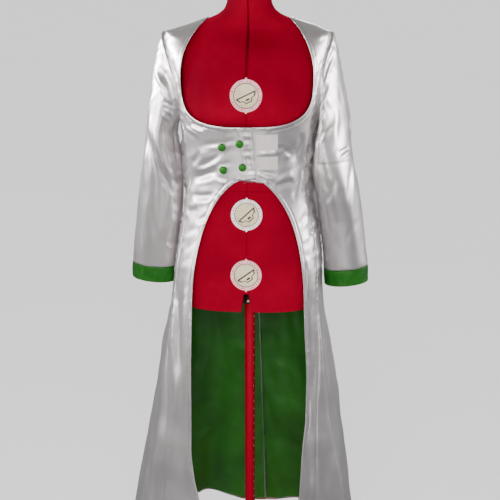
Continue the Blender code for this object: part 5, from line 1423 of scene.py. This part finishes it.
def sleeveGrid(side):
    # Hermite curves from the armhole over the cap to the first ring, then rings down the arm
    looks = sleeveLooks
    rounds = np.linspace(-180.0, 180.0, looks["columns"], endpoint=False) + 0.7
    start = coatBody(side, *armhole(side, rounds))
    start = start + unit(start.mean(axis=0) - start) * 0.2 * mm
    top = np.sin(np.radians(rounds)) * 0.5 + 0.5
    firstZ = sleeveShape[side]["height"][-1]
    levels = (firstZ, firstZ - looks["slopeStep"])
    end, below = (sleeveRing(side, rounds, np.full_like(rounds, z)) for z in levels)
    near, far = looks["reach"]
    reach = near + (far - near) * top**1.5
    leave = np.stack([side * reach, np.zeros_like(reach), looks["capLift"] * top**3], axis=1)
    near, far = looks["arrival"]
    arrive = (below - end) / looks["slopeStep"] * (near + (far - near) * top)[:, None]
    rise, leaving, arriving = hermite(np.linspace(0.0, 1.0, looks["capRows"])[:, None, None] ** 1.15)
    cap = start * (1.0 - rise) + end * rise + leave * leaving + arrive * arriving
    armZ = np.linspace(firstZ, looks["cuffTop"][side], looks["armRows"])[1:]
    return rounds, np.concatenate([cap, sleeveRing(side, *np.meshgrid(rounds, armZ))])


def ringPlace(rounds):
    # where a place round the sleeve is on a plain ring, so that ripples meet where the ring closes
    return sleeveLooks["ring"] * np.cos(np.radians(rounds)), sleeveLooks["ring"] * np.sin(np.radians(rounds))


def sleeveField(side, rounds, points):
    # creases and ripples of the sleeve's cloth; marks past 180 degrees come in again from the other side
    z, seed, looks = points[..., 2], 700 + side, sleeveLooks
    r = np.broadcast_to(rounds[None, :], z.shape)
    field = sum(creases(r + turn, z, sleeveCreases[side], looks["perDegree"]) for turn in (0.0, 360.0))
    ringX, ringY = ringPlace(r)
    field += looks["crumple"] * mm * waves(ringX + z * 0.6, ringY + z * 0.8, seed, 0.035, 0.110)
    field *= 0.3 + 0.7 * smoothStep(z, 0.98, 1.16)
    field += softBumps(r, z, sleeveSag[side])
    upper = smoothStep(z, 1.20, 1.28)
    ripple = waves(ringX * 1.5 - z, ringY * 1.5 + z, seed + 1, 0.018, 0.040)
    return field + looks["capCrumple"] * mm * upper * ripple


def buildSleeve(side):
    # the sleeve's tube with its gathered head and wrist, then its cuff
    looks, name = sleeveLooks, sideName[side]
    rounds, points = sleeveGrid(side)
    middle = points.mean(axis=1, keepdims=True)
    field = sleeveField(side, rounds, points)
    away, along = fromLine(points, points[0])
    # at the armhole the seam sinks and its allowance lifts the sleeve's head beside it
    ripple = waves(away, along, 720 + side, 0.012, 0.030, lean=3.0, count=10)
    field = field * smoothStep(away, 0.0, 0.020)
    lift = looks["seamLift"] * bell(away - 5 * mm, 4 * mm) - looks["seamDip"] * bell(away, 1.5 * mm)
    field += lift * mm
    field += looks["pucker"] * mm * ripple * np.exp(-away / (12 * mm)) * (1.0 - bell(away, 3 * mm))
    away, along = fromLine(points, points[-1])
    gather = waves(away, along, 730 + side, 0.014, 0.034, lean=2.5, count=10)
    field = field * smoothStep(away, 0.0, 0.025)
    gather = looks["cuffGather"] * gather * np.exp(-away / (14 * mm))
    field += (gather - looks["cuffDip"] * bell(away, 2.2 * mm)) * mm
    points = lifted(points, field, middle, roundIt=True)
    showSheet(f"sleeve_{name}_cloth", points, whiteSatin, f"sleeve_{name}",
              looks["wall"], ringMiddle=middle)
    # the cuff's band, from the sleeve's edge down
    z = np.linspace(looks["cuffTop"][side] - 0.2 * mm, sleeveShape[side]["height"][0], 18)
    r, z = np.meshgrid(rounds, z)
    cuff = sleeveRing(side, r, z)
    centre = cuff.mean(axis=1, keepdims=True)
    z = cuff[..., 2]
    ringX, ringY = ringPlace(r)
    wrinkle = looks["cuffCrumple"] * mm * waves(ringX + z * 0.7, ringY, 740 + side, 0.014, 0.040)
    edge = np.minimum(np.abs(z - z[:1]), np.abs(z - z[-1:]))
    field = wrinkle * smoothStep(edge, 0.0, 0.008) - looks["cuffRoll"] * mm * bell(edge, 1.5 * mm)
    cuff = lifted(cuff, field, centre, roundIt=True)
    showSheet(f"cuff_{name}_band", cuff, greenSatin, f"cuff_{name}",
              looks["cuffWall"], ringMiddle=centre)


for side in (right, left):
    buildSleeve(side)
print("sleeves and cuffs made")

buttonLooks = {"radius": 9.0, "lift": 0.6}


def seatOnCoat(side, x, height, radius):
    # where a flat-backed disc sits on the cloth without sinking in: its point and normal
    around = np.radians(np.arange(0.0, 360.0, 30.0))
    atX = np.append(x + radius * np.cos(around), x)
    atZ = np.append(height + radius * np.sin(around), height)
    turn = turnAt(side, atX, atZ)
    points, step, rise = coatBody(side, turn, atZ), 0.5, 0.002
    acrossIt = coatBody(side, turn + step, atZ) - coatBody(side, turn - step, atZ)
    up = coatBody(side, turn, atZ + rise) - coatBody(side, turn, atZ - rise)
    normal = unit(unit(side * np.cross(acrossIt, up)).mean(axis=0))
    highest = ((points - points[-1]) @ normal).max()
    return Vector(points[-1] + normal * (highest + buttonLooks["lift"] * mm)), Vector(normal)


def buildButtons():
    # covered buttons: a dome of satin drawn tight over a disc and gathered under its edge
    profile = np.array([
        (0.0, 0.0), (0.70, 0.0), (0.88, 0.05), (0.97, 0.13), (1.0, 0.22), (0.985, 0.31), (0.93, 0.40),
        (0.84, 0.475), (0.72, 0.535), (0.56, 0.585), (0.38, 0.618), (0.19, 0.635), (0.0, 0.64),
    ]) * buttonLooks["radius"] * mm
    for i, (x, z) in enumerate(buttonPlaces):
        point, normal = seatOnCoat(right, x, z, buttonLooks["radius"] * mm)
        place = (-normal).to_track_quat("-Z", "Y").to_matrix().to_4x4()
        place.translation = point
        mesh = turnedMesh(f"button{i + 1}", profile, 48, place)
        showPiece(f"coveredButton_{i + 1}", mesh, greenSatin, [f"button_{i + 1}"])


def buildPatches():
    # strips of loop tape laid on the left front, with a stitched hollow just inside their edge
    looks = patchLooks
    first, last = looks["x"]
    for i, (low, high) in enumerate(looks["heights"]):
        x, z = np.meshgrid(np.linspace(first, last, 46), np.linspace(low, high, 36))
        turn = turnAt(left, x.ravel(), z.ravel()).reshape(x.shape)
        points = coatBody(left, turn, z)
        edge = np.minimum(np.minimum(x - first, last - x), np.minimum(z - low, high - z))
        dip = looks["seamDip"] * bell(edge - looks["seamInset"] * mm, mm)
        ripple = looks["ripple"] * waves(x, z, 900 + i, 0.012, 0.030)
        rise = (looks["lift"] + looks["thickness"] - dip + ripple) * mm
        points = lifted(points, rise)
        showSheet(f"loopTape_{i + 1}", points, loopTape, f"loop_patch_{i + 1}",
                  looks["thickness"])


buildButtons()
buildPatches()
print("fastenings made")

studio = {
    "floorColours": ("#E6E5E5", "#E9E8E8"), "floorReach": 90.0,
    # how bright the surround is by height of direction: below the floor's edge, level, then up to overhead
    "surround": ((-0.36, 0.17), (-0.24, 0.33), (-0.12, 0.39), (0.03, 1.0), (0.45, 0.50), (0.90, 0.12)),
    # and how much brighter it is by turn in degrees from straight ahead of the form, the viewer's left below 0
    "sidewise": (
        (-150.0, 0.50), (-120.0, 0.55), (-98.0, 0.70), (-78.0, 0.58), (-58.0, 0.90), (-30.0, 0.42),
        (0.0, 0.80), (30.0, 0.66), (58.0, 0.50), (80.0, 1.30), (100.0, 1.40), (122.0, 0.70), (150.0, 0.70),
    ),
    # the same for light from well below the horizon
    "lowSidewise": (
        (-150.0, 1.30), (-120.0, 1.30), (-98.0, 1.05), (-76.0, 1.00), (-62.0, 1.0), (-38.0, 0.34),
        (-10.0, 0.42), (16.0, 0.80), (40.0, 0.50), (72.0, 0.42), (95.0, 1.10), (150.0, 1.30),
    ),
    "lowTint": (0.965, 0.975, 1.035), "highTint": (1.02, 0.99, 0.99), "lampColour": (1.0, 0.955, 0.945),
    "skylight": {"from": (-1.0, 4.0, 6.0), "strength": 5.0, "angle": 60.0},
    "cameraPlace": (0.1542, -2.2055, 1.534), "target": (0.0, 0.0, 0.900), "lens": 69.0,
    # name, place, target, width, height, power, spread: side lamps are gridded, and light the upper half most
    "lamps": (
        ("frontKey", (-0.25, -3.0, 1.72), (0.0, 0.0, 1.35), 2.0, 0.90, 66.0, 180.0),
        ("lowKey", (0.06, -1.45, 0.66), (0.0, -0.12, 1.15), 0.85, 0.35, 3.0, 180.0),
        ("leftKey", (-2.35, -1.58, 1.52), (0.0, 0.0, 1.25), 1.25, 1.15, 5.6, 34.0),
        ("leftSide", (-2.9, 0.2, 1.97), (0.0, 0.0, 1.84), 2.1, 0.95, 36.0, 34.0),
        ("rightSide", (2.9, 0.0, 1.75), (0.0, 0.0, 1.47), 2.2, 1.30, 12.0, 34.0),
        ("backKey", (0.0, 3.4, 1.60), (0.0, 0.0, 1.40), 3.0, 0.95, 9.0, 34.0),
    ),
    # a low matt fill from the front, as off a pale floor
    "fill": ("lowFill", (0.2, -2.3, 0.60), (0.0, 0.0, 0.45), 1.8, 0.5, 2.0, 70.0),
}


def buildWorld():
    # a pale surround that is brightest level with the eye and dims overhead
    world = bpy.data.worlds.new("studioWorld")
    world.use_nodes = True
    tree = world.node_tree
    background = tree.nodes["Background"]
    coords = addNode(tree, "ShaderNodeTexCoord")
    axes = addNode(tree, "ShaderNodeSeparateXYZ", {}, Vector=coords.outputs["Generated"]).outputs
    height = addNode(tree, "ShaderNodeMath", {"operation": "MULTIPLY_ADD", 1: 0.5, 2: 0.5}, _0=axes["Z"])
    tints = [studio["lowTint" if level < -0.1 else "highTint"] for level, _ in studio["surround"]]
    stops = [(0.5 + 0.5 * level, tuple(grey * c for c in tint) + (1.0,))
             for (level, grey), tint in zip(studio["surround"], tints)]
    sky = addNode(tree, "ShaderNodeValToRGB", {"stops": stops}, Fac=height.outputs["Value"])
    # turn from the form's front: arctan2(x, -y) as a share of a whole turn
    forward = addNode(tree, "ShaderNodeMath", {"operation": "MULTIPLY", 1: -1.0}, _0=axes["Y"])
    turned = addNode(tree, "ShaderNodeMath", {"operation": "ARCTAN2"},
                     _0=axes["X"], _1=forward.outputs["Value"])
    share = addNode(tree, "ShaderNodeMath", {"operation": "MULTIPLY_ADD", 1: 0.5 / math.pi, 2: 0.5},
                    _0=turned.outputs["Value"])
    # values over 1 don't fit a ramp, so it holds halves and the background's strength is doubled
    ramps = []
    for key in ("lowSidewise", "sidewise"):
        stops = [(0.5 + degrees / 360.0, (grey / 2.0,) * 3 + (1.0,)) for degrees, grey in studio[key]]
        beside = addNode(tree, "ShaderNodeValToRGB", {"stops": stops}, Fac=share.outputs["Value"])
        ramps.append(beside.outputs["Color"])
    rising = addNode(tree, "ShaderNodeMapRange", {1: -0.26, 2: -0.10, 3: 0.0, 4: 1.0}, _0=axes["Z"])
    beside = addNode(tree, "ShaderNodeMix", {"data_type": "RGBA"},
                     _0=rising.outputs["Result"], _6=ramps[0], _7=ramps[1])
    both = addNode(tree, "ShaderNodeMix", {"data_type": "RGBA", "blend_type": "MULTIPLY", 0: 1.0},
                   _6=sky.outputs["Color"], _7=beside.outputs[2])
    tree.links.new(both.outputs[2], background.inputs["Color"])
    background.inputs["Strength"].default_value = 2.0
    bpy.context.scene.world = world


def aimed(name, data, place, target):
    # a lamp or camera at its place, looking at the target
    holder = addObject(name, data)
    holder.location = place
    holder.rotation_euler = (Vector(target) - Vector(place)).to_track_quat("-Z", "Y").to_euler()
    return holder


def addLamp(name, place, target, width, height, power, spread):
    # a softbox: an oblong area lamp that the camera doesn't see
    lamp = bpy.data.lights.new(name, "AREA")
    lamp.shape, lamp.size, lamp.size_y, lamp.energy = "RECTANGLE", width, height, power
    lamp.spread = math.radians(spread)
    holder = aimed(name, lamp, place, target)
    holder.visible_camera = False
    return holder


def buildStudio():
    far, (shade, colour) = studio["floorReach"], studio["floorColours"]
    mesh = newMesh("floor", [(-far, -far, 0), (far, -far, 0), (far, far, 0), (-far, far, 0)], [(0, 1, 2, 3)])
    # rolled matt emulsion on board: no gloss, with hardly any mottle
    mesh.materials.append(mottled("matt white studio floor", {
        "Roughness": 0.9, "Specular IOR Level": 0.1,
    }, shade, colour, 0.6, 1.0, ends=(0.2, 0.8)))
    floor = addObject("floor", mesh)
    floor.visible_glossy = False  # the satin shows the even surround, not the floor
    buildWorld()
    for row in studio["lamps"]:
        holder = addLamp(*row)
        holder.data.color = studio["lampColour"]
        holder.visible_diffuse = row[0] == "frontKey"  # the others only shine in the satin
    addLamp(*studio["fill"]).visible_glossy = False
    # a broad soft light from high behind the form, which lights the floor evenly
    looks = studio["skylight"]
    skylight = bpy.data.lights.new("skylight", "SUN")
    skylight.energy, skylight.angle = looks["strength"], math.radians(looks["angle"])
    aimed("skylight", skylight, looks["from"], (0.0, 0.0, 0.0)).visible_glossy = False
    camera = bpy.data.cameras.new("photoCamera")
    camera.lens, camera.sensor_width = studio["lens"], 36.0
    bpy.context.scene.camera = aimed("photoCamera", camera, studio["cameraPlace"], studio["target"])


buildStudio()
print("studio made")
